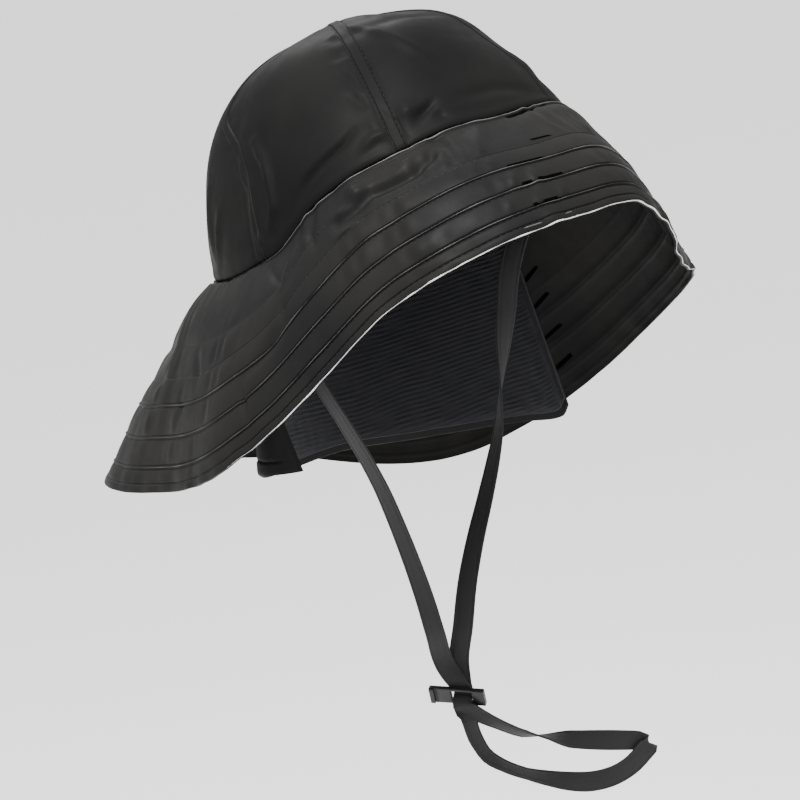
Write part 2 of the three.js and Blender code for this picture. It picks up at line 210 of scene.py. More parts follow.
CROWN_SWELLS = (
    Swell(13, 0.73, -2.2, 16, 0.16), Swell(44, 0.4, -2.2, 12, 0.1), Swell(46, 0.19, -1.6, 12, 0.08),
    Swell(45, 0.26, 0.7, 8, 0.04), Swell(-62, 0.84, -1.2, 30, 0.12), Swell(-27, 0.84, 0.6, 20, 0.1),
    Swell(-122, 0.3, -1.2, 20, 0.22),
)

BRIM_FOLDS = (
    Fold(((-20.5, 0.058), (-24, 0.186), (-30.5, 0.256), (-41, 0.23), (-45, 0.266), (-51.5, 0.263)),
         -3.7, 3.4),
    Fold(((-46.5, 0.076), (-45, 0.159), (-43, 0.223)), 3.3, 4.6),
    Fold(((-52, 0.217), (-45.5, 0.25)), 2.0, 2.8),
    Fold(((-28, 0.1), (-33, 0.163)), 1.1, 3.0),
    Fold(((-53, 0.35), (-45.5, 0.377)), 0.8, 1.3),
    Fold(((-78, 0.08), (-70.5, 0.283)), -1.2, 2.0),
    Fold(((-66, 0.163), (-70.5, 0.293)), 1.3, 2.2),
    Fold(((-61, 0.152), (-59, 0.277)), -1.1, 2.0),
    Fold(((-70, 0.339), (-69.5, 0.527), (-73, 0.58), (-82, 0.625)), -1.6, 3.2),
    Fold(((-82.5, 0.671), (-81, 0.862)), -1.3, 2.0),
    Fold(((-108.5, 0.362), (-104.5, 0.511)), -1.0, 3.6),
    Fold(((-114.5, 0.594), (-111, 0.658)), -1.0, 3.2),
    Fold(((-7.5, 0.032), (-13, 0.317)), 1.0, 3.6),
    Fold(((-10.5, 0.604), (-11.5, 0.705)), 0.8, 2.6),
    Fold(((-5.5, 0.659), (-7, 0.772)), 0.8, 2.6),
    Fold(((-34, 0.347), (-47, 0.854)), -0.8, 6.0),
    Fold(((-7.5, 0.9), (-6.5, 1.08)), 2.0, 4.5),
    Fold(((-10.5, 0.579), (-11, 0.683)), 1, 1.5),
    Fold(((-6, 0.596), (-6.5, 0.692)), 1.1, 1.5),
    Fold(((-8, 0.796), (-8.5, 0.854)), 0.9, 1.5),
    Fold(((-2.5, 0.779), (-2.5, 0.854)), 1, 1.5),
    Fold(((-14, 0.775), (-14.5, 0.825)), 0.8, 1.5),
    Fold(((128, 0.2), (132, 0.9)), 1.5, 9.0),
    Fold(((160, 0.15), (166, 0.85)), -1.6, 9.0),
    Fold(((70, 0.2), (74, 0.8)), 1.0, 7.0),
    Fold(((100, 0.1), (104, 0.7)), -1.2, 7.0),
    Fold(((200, 0.1), (196, 0.6)), -1.3, 6.0),
    Fold(((232, 0.15), (236, 0.7)), 1.2, 7.0),
)
BRIM_SWELLS = (
    Swell(-138, 0.15, 4.2, 32, 0.18), Swell(-145, 0.85, -1.8, 30, 0.16), Swell(33, 0.08, 2.0, 24, 0.1),
    Swell(34, 0.95, 1.5, 12, 0.1),
)

BACKTACKS_AND_INNER_SHADOWS = (
    Backtack((3, 0.05), (12, 0.05), 2.4), Backtack((10, 0.048), (20, 0.025), 1.3),
    Backtack((1, 0.342), (6, 0.35), 1.1), Backtack((-9.3, 0.686), (0, 0.69), 1.5),
    Backtack((-9, 0.85), (-4.5, 0.85), 1.5), Backtack((-9.4, 0.517), (-1, 0.52), 0.8),
    Backtack((-13, 0.969), (-10.5, 0.972), 0.5, frayed=True),
    Backtack((-4.6, 0.969), (-3.5, 0.969), 0.5, frayed=True),
    Backtack((-9.2, 0.535), (-8.9, 0.537), 0.5, frayed=True),
    Backtack((-9.4, 0.704), (-9.2, 0.705), 0.5, frayed=True),
    # Inner bars: painted shadow only, near-black marks where the rows pass behind the lining.
    Backtack((123, 0.454), (117, 0.412), 2.0, inner=True),
    Backtack((124.5, 0.583), (119.5, 0.554), 2.0, inner=True),
    Backtack((126.5, 0.729), (122, 0.717), 2.0, inner=True),
    Backtack((127, 0.867), (123.5, 0.858), 2.2, inner=True),
)

NEAR_LEG = (
    LegRow(-82.85, -6.4, -90), LegRow(-82.5, -11, -90), LegRow(-80.4, -20, -89), LegRow(-75, -34, -86),
    LegRow(-67.5, -54, -83), LegRow(-58.5, -76, -80), LegRow(-47.5, -97.5, -77),
    LegRow(-37, -119.5, -74), LegRow(-31, -134, -72), LegRow(-24.8, -153, -68),
    LegRow(-18.7, -174.5, -61), LegRow(-13.6, -195.5, -52), LegRow(-10, -214, -43),
)

FAR_LEG = (
    LegRow(83, 1.5, -90), LegRow(82.4, -5, -88), LegRow(78.5, -12, -78), LegRow(71, -22, -60),
    LegRow(64, -32, -42), LegRow(57.5, -46, -31), LegRow(53, -64, -20), LegRow(49.3, -80, 6),
    LegRow(46.3, -95, 38), LegRow(43.4, -108, 60), LegRow(40.6, -122, 78), LegRow(35, -138, 92),
    LegRow(28.3, -154, 103), LegRow(19, -175, 115), LegRow(12, -194, 127), LegRow(6.5, -215, 140),
)

HANG_HEADING = -33.0
LOOP = (
    LoopRow(-4, 14, -1.9, (1, 0, 0)),
    LoopRow(1.2, 3.2, -2.3, (1, 0, 0), True),
    LoopRow(2.6, 0.4, -1.95, (1, 0, 0), True),
    LoopRow(2.6, -1.3, -1.95, (1, 0, 0), True),
    LoopRow(2.6, -2.05, -1, (1, 0, 0), True),
    LoopRow(2.6, -2.3, 0.6, (1, 0, 0), True),
    LoopRow(2.6, -3, 2.5, (1, 0, 0), True),
    LoopRow(2.6, -4.4, 3.6, (1, 0, 0), True),
    LoopRow(6, -9.2, 2.2, (0.74, 0.5, 0.45)),
    LoopRow(10.2, -12.6, 2, (0.6, 0.6, 0.52)),
    LoopRow(18.7, -18.4, 1.3, (0.3, 0.66, 0.68)),
    LoopRow(30.5, -25.2, 0, (0.21, 0.6, 0.77)),
    LoopRow(41.5, -28.3, -0.4, (0.04, 0.13, 0.99)),
    LoopRow(52.5, -31, -0.6, (-0.2, -0.6, 0.77)),
    LoopRow(66.5, -33.3, -0.8, (-0.12, -0.86, 0.5)),
    LoopRow(79, -35, -0.9, (-0.1, -0.98, 0.17)),
    LoopRow(86.5, -36.2, -1.1, (0.3, -0.95, 0)),
    LoopRow(90.8, -37.4, -1, (0.6, -0.8, 0)),
    LoopRow(91.9, -38, 0, (0.64, -0.77, 0)),
    LoopRow(91, -38.9, 1, (0.66, -0.75, 0)),
    LoopRow(88, -41.8, 1.1, (0.66, -0.75, 0)),
    LoopRow(83, -46.6, 1, (0.6, -0.8, 0)),
    LoopRow(73.5, -52, 0.6, (0.3, -0.95, 0.1)),
    LoopRow(61, -54.2, 0.2, (0.02, -0.94, 0.34)),
    LoopRow(50.5, -52.9, 0, (-0.15, -0.75, 0.64)),
    LoopRow(41, -50.3, 0, (-0.1, -0.49, 0.87)),
    LoopRow(30, -46.4, 0, (-0.1, -0.22, 0.97)),
    LoopRow(18.8, -40.6, -0.1, (-0.2, -0.24, 0.95)),
    LoopRow(10.8, -34, -0.2, (-0.4, -0.3, 0.85)),
    LoopRow(7.8, -28, -0.2, (-0.5, -0.3, 0.8)),
    LoopRow(6, -23.1, -0.2, (-0.6, -0.3, 0.75)),
    LoopRow(4.9, -17.6, 0, (-0.66, -0.2, 0.7)),
    LoopRow(4, -11.5, 0.2, (-0.8, -0.1, 0.55)),
    LoopRow(2.2, -6.6, 2.35, (-1, 0, 0), True),
    LoopRow(2.2, -4.8, 1.95, (-1, 0, 0), True),
    LoopRow(2.2, -3.8, 0.8, (-1, 0, 0), True),
    LoopRow(2.2, -3.65, -0.6, (-1, 0, 0), True),
    LoopRow(2.2, -3.3, -2.2, (-1, 0, 0), True),
    LoopRow(2.2, -1.9, -3.25, (-1, 0, 0), True),
    LoopRow(2.2, 3.8, -3.3, (-1, 0, 0), True),
    LoopRow(2.6, 14, -3.3, (-1, 0, 0)),
)


def unit(vectors: Array) -> Array:
    """Vectors of length one.

    Args:
        vectors: Vectors along the last axis.

    Returns:
        The same directions with length one.
    """
    return vectors / np.maximum(np.linalg.norm(vectors, axis=-1, keepdims=True), 1e-12)


def stack(x: Array, y: Array, z: Array) -> Array:
    """Points from three arrays of coordinates."""
    return np.stack(np.broadcast_arrays(x, y, z), axis=-1)


def bump_shape(distance: Array, width: float) -> Array:
    """Smooth bump of height one and the given half width."""
    return np.exp(-((distance / width) ** 2))


def ripple(points: Array, wavelength: float, seed: int, waves: int = 9) -> Array:
    """Soft irregular waviness, about -1 to 1.

    Args:
        points: Places in millimetres.
        wavelength: Usual distance between crests, in millimetres.
        seed: Seed of the directions and phases.
        waves: How many plane waves are added up.

    Returns:
        One value for each point.
    """
    rng = np.random.default_rng(seed)
    directions = unit(rng.normal(size=(waves, 3)))
    phases = rng.uniform(0, 2 * math.pi, waves)
    lengths = wavelength * rng.uniform(0.7, 1.5, waves)
    total = np.zeros(points.shape[:-1])
    for direction, phase, length in zip(directions, phases, lengths):
        total = total + np.sin(2 * math.pi * (points @ direction) / length + phase)
    return total / math.sqrt(waves)


def round_column(rows: Sequence[BrimRow], angle: Array, name: str) -> Array:
    """Value of a column at an angle, smooth all the way round.

    Args:
        rows: Rows at even angles, the whole way round.
        angle: Angles in degrees.
        name: The column's name.

    Returns:
        The value at each angle.
    """
    values = np.array([getattr(row, name) for row in rows], float)
    count = len(values)
    place = np.mod(angle, 360) / (360 / count)
    first = np.floor(place).astype(int)
    share = place - first
    before, start, end, after = (values[(first + step) % count] for step in (-1, 0, 1, 2))
    return hermite(share, before, start, end, after)


def open_column(rows: Sequence[FlapRow], angle: Array, name: str) -> Array:
    """Value of a column at an angle, between the first row and the last."""
    places = np.array([row.at for row in rows], float)
    values = np.array([getattr(row, name) for row in rows], float)
    first = np.clip(np.searchsorted(places, angle, side="right") - 1, 0, len(places) - 2)
    share = np.clip((angle - places[first]) / (places[first + 1] - places[first]), 0, 1)
    last = len(values) - 1
    before, after = values[np.maximum(first - 1, 0)], values[np.minimum(first + 2, last)]
    return hermite(share, before, values[first], values[first + 1], after)


def hermite(share: Array, before: Array, start: Array, end: Array, after: Array) -> Array:
    """Cubic between start and end that is smooth with its neighbours."""
    square, cube = share**2, share**3
    slope_in, slope_out = (end - before) / 2, (after - start) / 2
    return ((2 * cube - 3 * square + 1) * start + (cube - 2 * square + share) * slope_in
            + (3 * square - 2 * cube) * end + (cube - square) * slope_out)


@dataclass
class HatForm:
    """Plain form of the hat's cloth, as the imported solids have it."""

    pitch: float = 23.0
    seam_front: float = 95.0
    seam_back: float = 114.0
    seam_side: float = 87.0
    wave_once: float = 4.0
    wave_twice: float = 8.0
    wave_sideways: float = 3.0
    crown_height: float = 87.0
    crown_fullness: float = 0.74
    crown_taper: float = 0.05
    apex_back: float = 9.0
    gore_swell: float = 2.6
    brim_swell: float = 6.0
    brim_reference: float = 75.0
    flap_inset: float = 2.6
    flap_above: float = 5.0

    def seam(self, angle: Array, inset: float = 0.0) -> Array:
        """Points of the seam between crown and brim."""
        turn = np.radians(angle)
        length = np.where(np.cos(turn) > 0, self.seam_front, self.seam_back)
        height = (self.wave_once * np.cos(turn) + self.wave_twice * np.cos(2 * turn)
                  + self.wave_sideways * np.sin(turn) + round_column(BRIM_ROWS, angle, "shift"))
        return stack((self.seam_side - inset) * np.sin(turn), -(length - inset) * np.cos(turn), height)

    def outward(self, angle: Array) -> Array:
        """Level direction straight out of the seam."""
        turn = np.radians(angle)
        length = np.where(np.cos(turn) > 0, self.seam_front, self.seam_back)
        return unit(stack(np.sin(turn) / self.seam_side, -np.cos(turn) / length, 0 * turn))

    def crown(self, angle: Array, rise: Array) -> Array:
        """Outer face of the crown, from the seam at 0 to the apex at 1."""
        tilt = rise * math.pi / 2
        reach = np.cos(tilt) ** self.crown_fullness * (1 - self.crown_taper * np.sin(2 * tilt))
        lift = np.sin(tilt)
        seam = self.seam(angle)
        from_seam = np.abs(np.sin(np.radians(3 * (angle - 30))))
        swell = self.gore_swell * (from_seam - 0.6) * np.sin(2 * tilt)
        point = stack(seam[..., 0] * reach, seam[..., 1] * reach + self.apex_back * lift,
                      seam[..., 2] * (1 - lift) + self.crown_height * lift)
        return point + self.outward(angle) * swell[..., None]

    def brim_length(self, angle: Array) -> Array:
        """Straight length of the brim from seam to rim."""
        return np.hypot(round_column(BRIM_ROWS, angle, "out"), round_column(BRIM_ROWS, angle, "drop"))

    def brim(self, angle: Array, share: Array) -> Array:
        """Outer face of the brim, from the seam at 0 to the rim at 1."""
        out = round_column(BRIM_ROWS, angle, "out")
        drop = round_column(BRIM_ROWS, angle, "drop")
        length = np.hypot(out, drop)
        swell = self.brim_swell * 4 * share * (1 - share)
        point = self.seam(angle) + self.outward(angle) * (out * share + swell * drop / length)[..., None]
        lift = swell * out / length - (drop + round_column(BRIM_ROWS, angle, "shift")) * share
        return point + stack(0 * lift, 0 * lift, lift)

    def flap(self, angle: Array, share: Array, depth: float) -> Array:
        """Face of the flap, sunk by depth, from its top at 0 to its lower edge at 1."""
        deep = open_column(FLAP_ROWS, angle, "deep")
        flare = open_column(FLAP_ROWS, angle, "flare")
        top = self.seam(angle, self.flap_inset + depth)
        height = (top[..., 2] + self.flap_above) * (1 - share) - deep * share
        point = stack(top[..., 0], top[..., 1], height)
        return point + self.outward(angle) * (flare * share**2)[..., None]

    def tipped(self, points: Array) -> Array:
        """The same points with the hat tipped back."""
        turn = math.radians(self.pitch)
        tilt = np.array([[1, 0, 0], [0, math.cos(turn), math.sin(turn)],
                         [0, -math.sin(turn), math.cos(turn)]])
        return points @ tilt.T


Face = Callable[[Array, Array], Array]


def face_normals(face: Face, u: Array, v: Array, middle: Array, top: float = 1.0) -> Array:
    """Normals of a face, pointing away from a middle point.

    Args:
        face: The face's points at two parameters.
        u: First parameter, an angle in degrees.
        v: Second parameter, a share.
        middle: A point on the inner side.
        top: Highest share that the face has.

    Returns:
        A unit normal for each place.
    """
    along_u = face(u + 0.2, v) - face(u - 0.2, v)
    low, high = np.clip(v - 0.003, 0, top), np.clip(v + 0.003, 0, top)
    along_v = face(u, high) - face(u, low)
    normal = unit(np.cross(along_u, along_v))
    turned = np.sum(normal * (face(u, v) - middle), axis=-1) < 0
    return np.where(turned[..., None], -normal, normal)


def signed_turn(angle: Array) -> Array:
    """The same angle between -180 and 180 degrees."""
    return np.mod(angle + 180, 360) - 180


def right_side_share(angle: Array, start: float, spread: float) -> Array:
    """Share that rises towards the wearer's right side and falls again before the back.

    Args:
        angle: Angles in degrees.
        start: Angle where the rise begins.
        spread: Degrees that the rise takes.

    Returns:
        A share from 0 to 1 for each angle.
    """
    turn = signed_turn(angle)
    return np.clip((start - turn) / spread, 0, 1) * np.clip((turn + 140) / 10, 0, 1)


def seam_side(angle: Array) -> Array:
    """0 along the front of the seam, rising to 1 where it turns to the wearer's right side."""
    return right_side_share(angle, -60, 14)


def seam_sag(angle: Array) -> Array:
    """How far the seam's lip and the dark line below it have drawn together, from 0 to 1."""
    return right_side_share(angle, -70, 16)


def fold_relief(points: Array, face: Face, folds: Sequence[Fold]) -> Array:
    """Height of a set of folds over a face.

    Args:
        points: Places on the face.
        face: The face that the folds run over.
        folds: The folds.

    Returns:
        The height at each place, in millimetres.
    """
    relief = np.zeros(points.shape[:-1])
    for fold in folds:
        count = len(fold.places) - 1
        along = np.linspace(0, count, 3 * count + 1)
        angle, share = (np.interp(along, range(count + 1), column) for column in zip(*fold.places))
        line = face(angle, share)
        nearest = np.full(relief.shape, 1e9)
        place = np.zeros(relief.shape)
        for step in range(len(line) - 1):
            span = line[step + 1] - line[step]
            part = np.clip(((points - line[step]) @ span) / (span @ span), 0, 1)
            distance = np.linalg.norm(points - line[step] - part[..., None] * span, axis=-1)
            closer = distance < nearest
            nearest = np.where(closer, distance, nearest)
            place = np.where(closer, (step + part) / (len(line) - 1), place)
        fade = np.sin(math.pi * np.clip(place, 0.05, 0.95)) ** 0.5
        relief = relief + fold.height * fade * bump_shape(nearest, fold.width)
    return relief


def swell_relief(angle: Array, share: Array, swells: Sequence[Swell]) -> Array:
    """Height of a set of broad swellings, in millimetres."""
    relief = np.zeros(np.broadcast(angle, share).shape)
    for swell in swells:
        turn = signed_turn(angle - swell.at)
        relief = relief + swell.height * bump_shape(turn, swell.degrees) * bump_shape(
            share - swell.share, swell.tall)
    return relief


def select_only(piece: bpy.types.Object) -> None:
    """Leaves one object selected and active."""
    bpy.ops.object.select_all(action="DESELECT")
    piece.select_set(True)
    bpy.context.view_layer.objects.active = piece


def mesh_object(name: str, points: Array, faces: list, uvs: Array | None = None
                ) -> bpy.types.Object:
    """A smooth mesh object from points and faces.

    Args:
        name: The object's name.
        points: Points, in millimetres.
        faces: Corner numbers of each face.
        uvs: A UV place for each point, in metres of cloth, or None.

    Returns:
        The new object, at the origin.
    """
    mesh = bpy.data.meshes.new(name)
    mesh.from_pydata([tuple(point) for point in points * MM], [], faces)
    if uvs is not None:
        layer = mesh.uv_layers.new(name="cloth")
        corners = np.zeros(len(mesh.loops), dtype=np.int32)
        mesh.loops.foreach_get("vertex_index", corners)
        layer.data.foreach_set("uv", uvs[corners].astype(np.float32).ravel())
    mesh.polygons.foreach_set("use_smooth", np.ones(len(mesh.polygons), dtype=bool))
    mesh.update()
    piece = bpy.data.objects.new(name, mesh)
    bpy.context.collection.objects.link(piece)
    return piece


def grid_faces(rows: int, columns: int, start: int, ring: bool, flip: bool) -> list:
    """Faces of a grid of points.

    Args:
        rows: Rows of points.
        columns: Points in a row.
        start: Number of the first point.
        ring: Whether each row closes on itself.
        flip: Whether the faces turn the other way.

    Returns:
        Four corner numbers for each face.
    """
    faces = []
    spans = columns if ring else columns - 1
    for row in range(rows - 1):
        here, there = start + row * columns, start + (row + 1) * columns
        for step in range(spans):
            after = (step + 1) % columns
            corners = (here + step, here + after, there + after, there + step)
            faces.append(corners[::-1] if flip else corners)
    return faces


def wall_object(name: str, outer: Array, inner: Array, ring: bool) -> bpy.types.Object:
    """A closed wall of cloth between an outer and an inner grid with equal columns.

    Args:
        name: The object's name.
        outer: Outer points, by row and column.
        inner: Inner points, by row and column, with as many columns.
        ring: Whether the rows close on themselves.

    Returns:
        The new object, with its faces pointing out and a UV map in metres of cloth.
    """
    columns = outer.shape[1]
    points = np.concatenate([outer.reshape(-1, 3), inner.reshape(-1, 3)])
    start = outer.shape[0] * columns
    faces = grid_faces(outer.shape[0], columns, 0, ring, False)
    faces += grid_faces(inner.shape[0], columns, start, ring, True)
    last_outer, last_inner = start - columns, len(points) - columns
    spans = columns if ring else columns - 1
    for step in range(spans):
        after = (step + 1) % columns
        faces.append((after, step, start + step, start + after))
        faces.append((last_outer + step, last_outer + after, last_inner + after, last_inner + step))
    if not ring:
        faces += side_faces(outer.shape[0], inner.shape[0], columns, start)
    uvs = np.concatenate([cloth_places(outer), cloth_places(inner)])
    corners = np.array(faces)
    first, second, third = (points[corners[:, i]] for i in (0, 1, 2))
    volume = np.sum(first * np.cross(second, third)) + np.sum(
        first * np.cross(third, points[corners[:, 3]]))
    if volume < 0:
        faces = [face[::-1] for face in faces]
    return mesh_object(name, points, faces, uvs)


def side_faces(outer_rows: int, inner_rows: int, columns: int, start: int) -> list:
    """Faces that close the two ends of a wall whose grids have equal rows."""
    faces = []
    for row in range(min(outer_rows, inner_rows) - 1):
        a, b = row * columns, (row + 1) * columns
        faces.append((a, b, start + b, start + a))
        end = columns - 1
        faces.append((b + end, a + end, start + a + end, start + b + end))
    return faces


def cloth_places(grid: Array) -> Array:
    """UV places in metres, as lengths along the middle row and down each column."""
    middle = grid[grid.shape[0] // 2]
    steps = np.linalg.norm(np.diff(middle, axis=0), axis=1)
    across = np.concatenate([[0], np.cumsum(steps)])
    down = np.linalg.norm(np.diff(grid, axis=0), axis=2)
    along = np.concatenate([np.zeros((1, grid.shape[1])), np.cumsum(down, axis=0)])
    u = np.broadcast_to(across[None, :], along.shape)
    return np.stack([u, along], axis=-1).reshape(-1, 2) * MM


class NodePaper:
    """A material or group being drawn, with short calls for its nodes and links."""

    def __init__(self, tree: bpy.types.NodeTree) -> None:
        """Keeps the node tree that the calls draw in."""
        self.tree = tree

    def node(self, kind: str, **settings) -> bpy.types.Node:
        """A node with its settings, and its inputs by socket name under the key inputs."""
        made = self.tree.nodes.new(kind)
        values = settings.pop("inputs", {})
        for key, value in settings.items():
            setattr(made, key, value)
        for key, value in values.items():
            made.inputs[key].default_value = value
        return made

    def link(self, source: bpy.types.NodeSocket, target: bpy.types.NodeSocket) -> None:
        """Joins two sockets."""
        self.tree.links.new(source, target)

    def math(self, operation: str, first, second) -> bpy.types.NodeSocket:
        """The result of a sum on two sockets or numbers."""
        made = self.tree.nodes.new("ShaderNodeMath")
        made.operation = operation
        for socket, value in zip(made.inputs, (first, second)):
            if isinstance(value, (int, float)):
                socket.default_value = value
            else:
                self.link(value, socket)
        return made.outputs[0]

    def noise(self, vector, scale: float, detail: float = 2.0) -> bpy.types.NodeSocket:
        """Noise over a vector, from 0 to 1."""
        made = self.node("ShaderNodeTexNoise", inputs={"Scale": scale, "Detail": detail})
        self.link(vector, made.inputs["Vector"])
        return made.outputs["Fac"]

    def colour(self, shader: bpy.types.Node, dark: Colour, light: Colour, share) -> None:
        """Mixes a shader's base colour from a dark tone and a light one."""
        tone = self.node("ShaderNodeMix", data_type="RGBA")
        tone.inputs["A"].default_value = (*dark, 1)
        tone.inputs["B"].default_value = (*light, 1)
        self.link(share, tone.inputs["Factor"])
        self.link(tone.outputs["Result"], shader.inputs["Base Color"])

    def relief(self, shader: bpy.types.Node, height, strength: float, distance: float) -> None:
        """Tilts a shader's normal by a height, in metres where the height is 1."""
        bump = self.node("ShaderNodeBump", inputs={"Strength": strength, "Distance": distance})
        self.link(height, bump.inputs["Height"])
        self.link(bump.outputs["Normal"], shader.inputs["Normal"])


def new_finish(name: str) -> tuple[bpy.types.Material, NodePaper, bpy.types.Node]:
    """A new material, the paper to draw its nodes on, and its shader."""
    made = bpy.data.materials.new(name)
    made.use_nodes = True
    return made, NodePaper(made.node_tree), made.node_tree.nodes["Principled BSDF"]


def new_effect(name: str, controls: dict[str, float], results: Sequence[str]
               ) -> tuple[bpy.types.NodeTree, NodePaper, bpy.types.Node, bpy.types.Node]:
    """A new node group over a vector.

    Args:
        name: The group's name.
        controls: Each control's name and usual value.
        results: Names of the values that it puts out.

    Returns:
        The group, the paper to draw on, and its input and output nodes.
    """
    tree = bpy.data.node_groups.new(name, "ShaderNodeTree")
    tree.interface.new_socket("Vector", in_out="INPUT", socket_type="NodeSocketVector")
    for label, usual in controls.items():
        made = tree.interface.new_socket(label, in_out="INPUT", socket_type="NodeSocketFloat")
        made.default_value = usual
    for label in results:
        tree.interface.new_socket(label, in_out="OUTPUT", socket_type="NodeSocketFloat")
    paper = NodePaper(tree)
    return tree, paper, paper.node("NodeGroupInput"), paper.node("NodeGroupOutput")


def cloth_group() -> bpy.types.NodeTree:
    """Shared effect of coated cloth: fine grain, soft creases and a slow change of tone.

    Returns:
        A node group with a Vector input, and Height, Tone and Rub outputs.
    """
    name = "coated cloth relief"
    if name in bpy.data.node_groups:
        return bpy.data.node_groups[name]
    tree, paper, given, result = new_effect(name, {"Grain": 1.0, "Creases": 1.0},
                                            ("Height", "Tone", "Rub"))
    place = given.outputs["Vector"]
    grain = paper.noise(place, 1500.0, 2.0)
    pebble = paper.noise(place, 520.0, 1.0)
    crease = paper.node("ShaderNodeTexNoise", noise_type="RIDGED_MULTIFRACTAL",
                        inputs={"Scale": 38.0, "Detail": 3.0, "Distortion": 0.6})
    paper.link(place, crease.inputs["Vector"])
    fine = paper.math("ADD", paper.math("MULTIPLY", grain, 0.05), paper.math("MULTIPLY", pebble, 0.07))
    fine = paper.math("MULTIPLY", fine, given.outputs["Grain"])
    broad = paper.math("MULTIPLY", paper.math("MULTIPLY", crease.outputs["Fac"], 0.16),
                       given.outputs["Creases"])
    paper.link(paper.math("ADD", fine, broad), result.inputs["Height"])
    paper.link(paper.noise(place, 16.0, 4.0), result.inputs["Tone"])
    paper.link(paper.noise(place, 95.0, 5.0), result.inputs["Rub"])
    return tree


def knit_group() -> bpy.types.NodeTree:
    """Shared effect of knit and woven threads on the cloth's own UV places.

    Returns:
        A node group with a Vector input, and Height and Tone outputs.
    """
    name = "knit and weave"
    if name in bpy.data.node_groups:
        return bpy.data.node_groups[name]
    tree, paper, given, result = new_effect(name, {"Across": 1500.0, "Along": 1500.0},
                                            ("Height", "Tone"))
    parts = paper.node("ShaderNodeSeparateXYZ")
    paper.link(given.outputs["Vector"], parts.inputs[0])
    wave_x = paper.math("SINE", paper.math("MULTIPLY", parts.outputs["X"], given.outputs["Across"]), 0.0)
    wave_y = paper.math("SINE", paper.math("MULTIPLY", parts.outputs["Y"], given.outputs["Along"]), 0.0)
    weave = paper.math("MULTIPLY", wave_x, wave_y)
    fuzz = paper.noise(given.outputs["Vector"], 2200.0, 3.0)
    paper.link(paper.math("ADD", paper.math("MULTIPLY", weave, 0.3), fuzz), result.inputs["Height"])
    paper.link(paper.math("ADD", paper.math("MULTIPLY", weave, 0.18), fuzz), result.inputs["Tone"])
    return tree


@dataclass(frozen=True)
class CoatedCloth:
    """Black coated cloth with a half gloss, lighter here and there."""

    name: str
    dark: Colour
    light: Colour
    smooth: float = 0.42
    rough: float = 0.56
    relief: float = 0.3
    shine: float = 0.028

    def material(self) -> bpy.types.Material:
        """The finish as a material."""
        made, paper, shader = new_finish(self.name)
        place = paper.node("ShaderNodeTexCoord").outputs["Object"]
        effect = paper.node("ShaderNodeGroup", node_tree=cloth_group())
        paper.link(place, effect.inputs["Vector"])
        spread = paper.node("ShaderNodeMapRange", inputs={"From Min": 0.3, "From Max": 0.7})
        paper.link(effect.outputs["Tone"], spread.inputs["Value"])
        paper.colour(shader, self.dark, self.light, spread.outputs["Result"])
        gloss = paper.node("ShaderNodeMapRange", inputs={
            "From Min": 0.3, "From Max": 0.7, "To Min": self.smooth, "To Max": self.rough})
        paper.link(effect.outputs["Rub"], gloss.inputs["Value"])
        paper.link(gloss.outputs["Result"], shader.inputs["Roughness"])
        paper.relief(shader, effect.outputs["Height"], self.relief, 0.001)
        shader.inputs["Specular IOR Level"].default_value = self.shine
        return made


@dataclass(frozen=True)
class ThreadCloth:
    """Knit or woven cloth, with threads that follow the piece's UV map."""

    name: str
    dark: Colour
    light: Colour
    roughness: float
    across: float
    along: float
    sheen: float = 0.0
    relief: float = 0.5
    shine: float = 0.15

    def material(self) -> bpy.types.Material:
        """The finish as a material."""
        made, paper, shader = new_finish(self.name)
        place = paper.node("ShaderNodeUVMap", uv_map="cloth").outputs["UV"]
        effect = paper.node("ShaderNodeGroup", node_tree=knit_group(),
                            inputs={"Across": self.across, "Along": self.along})
        paper.link(place, effect.inputs["Vector"])
        paper.colour(shader, self.dark, self.light, effect.outputs["Tone"])
        paper.relief(shader, effect.outputs["Height"], self.relief, 0.0004)
        shader.inputs["Roughness"].default_value = self.roughness
        shader.inputs["Sheen Weight"].default_value = self.sheen
        shader.inputs["Specular IOR Level"].default_value = self.shine
        return made


@dataclass(frozen=True)
class PlainFinish:
    """Small parts: thread, cut edge and moulded plastic, with a fine grain."""

    name: str
    dark: Colour
    light: Colour
    roughness: float
    grain: float = 900.0
    relief: float = 0.2
    shine: float = 0.2

    def material(self) -> bpy.types.Material:
        """The finish as a material."""
        made, paper, shader = new_finish(self.name)
        place = paper.node("ShaderNodeTexCoord").outputs["Object"]
        grain = paper.noise(place, self.grain, 3.0)
        paper.colour(shader, self.dark, self.light, grain)
        paper.relief(shader, grain, self.relief, 0.0003)
        shader.inputs["Roughness"].default_value = self.roughness
        shader.inputs["Specular IOR Level"].default_value = self.shine
        return made


CROWN_CLOTH = CoatedCloth("crown_coated_cloth", (0.0042, 0.0042, 0.0044), (0.0066, 0.0066, 0.0062),
                          shine=0.018)
BRIM_CLOTH = CoatedCloth("brim_coated_cloth", (0.0056, 0.0056, 0.0059), (0.0094, 0.0091, 0.0082))
FLAP_CLOTH = CoatedCloth("flap_coated_cloth", (0.012, 0.012, 0.0125), (0.019, 0.019, 0.0188), 0.5, 0.65)
KNIT = ThreadCloth("ribbed_knit", (0.004, 0.004, 0.0047), (0.023, 0.023, 0.027), 0.95, 5200, 6200, 0.08, 0.8)
TAPE = ThreadCloth("woven_tape", (0.006, 0.006, 0.0063), (0.014, 0.014, 0.014), 0.6, 7000, 9000, 0.06)
THREAD = PlainFinish("sewing_thread", (0.002, 0.002, 0.0022), (0.006, 0.006, 0.0065), 0.6, 3000)
CUT_EDGE = PlainFinish("cut_cloth_edge", (0.3, 0.3, 0.29), (0.8, 0.8, 0.78), 0.9, 900, 0.6)
# Painted highlight: this light finish paints the highlight along the seam lip and the ridges between stitch
# rows, and also colours the frayed bars.
PAINTED_HIGHLIGHT = PlainFinish("painted_highlight_ridge", (0.022, 0.022, 0.022), (0.1, 0.1, 0.098), 0.5, 160, 0.2)
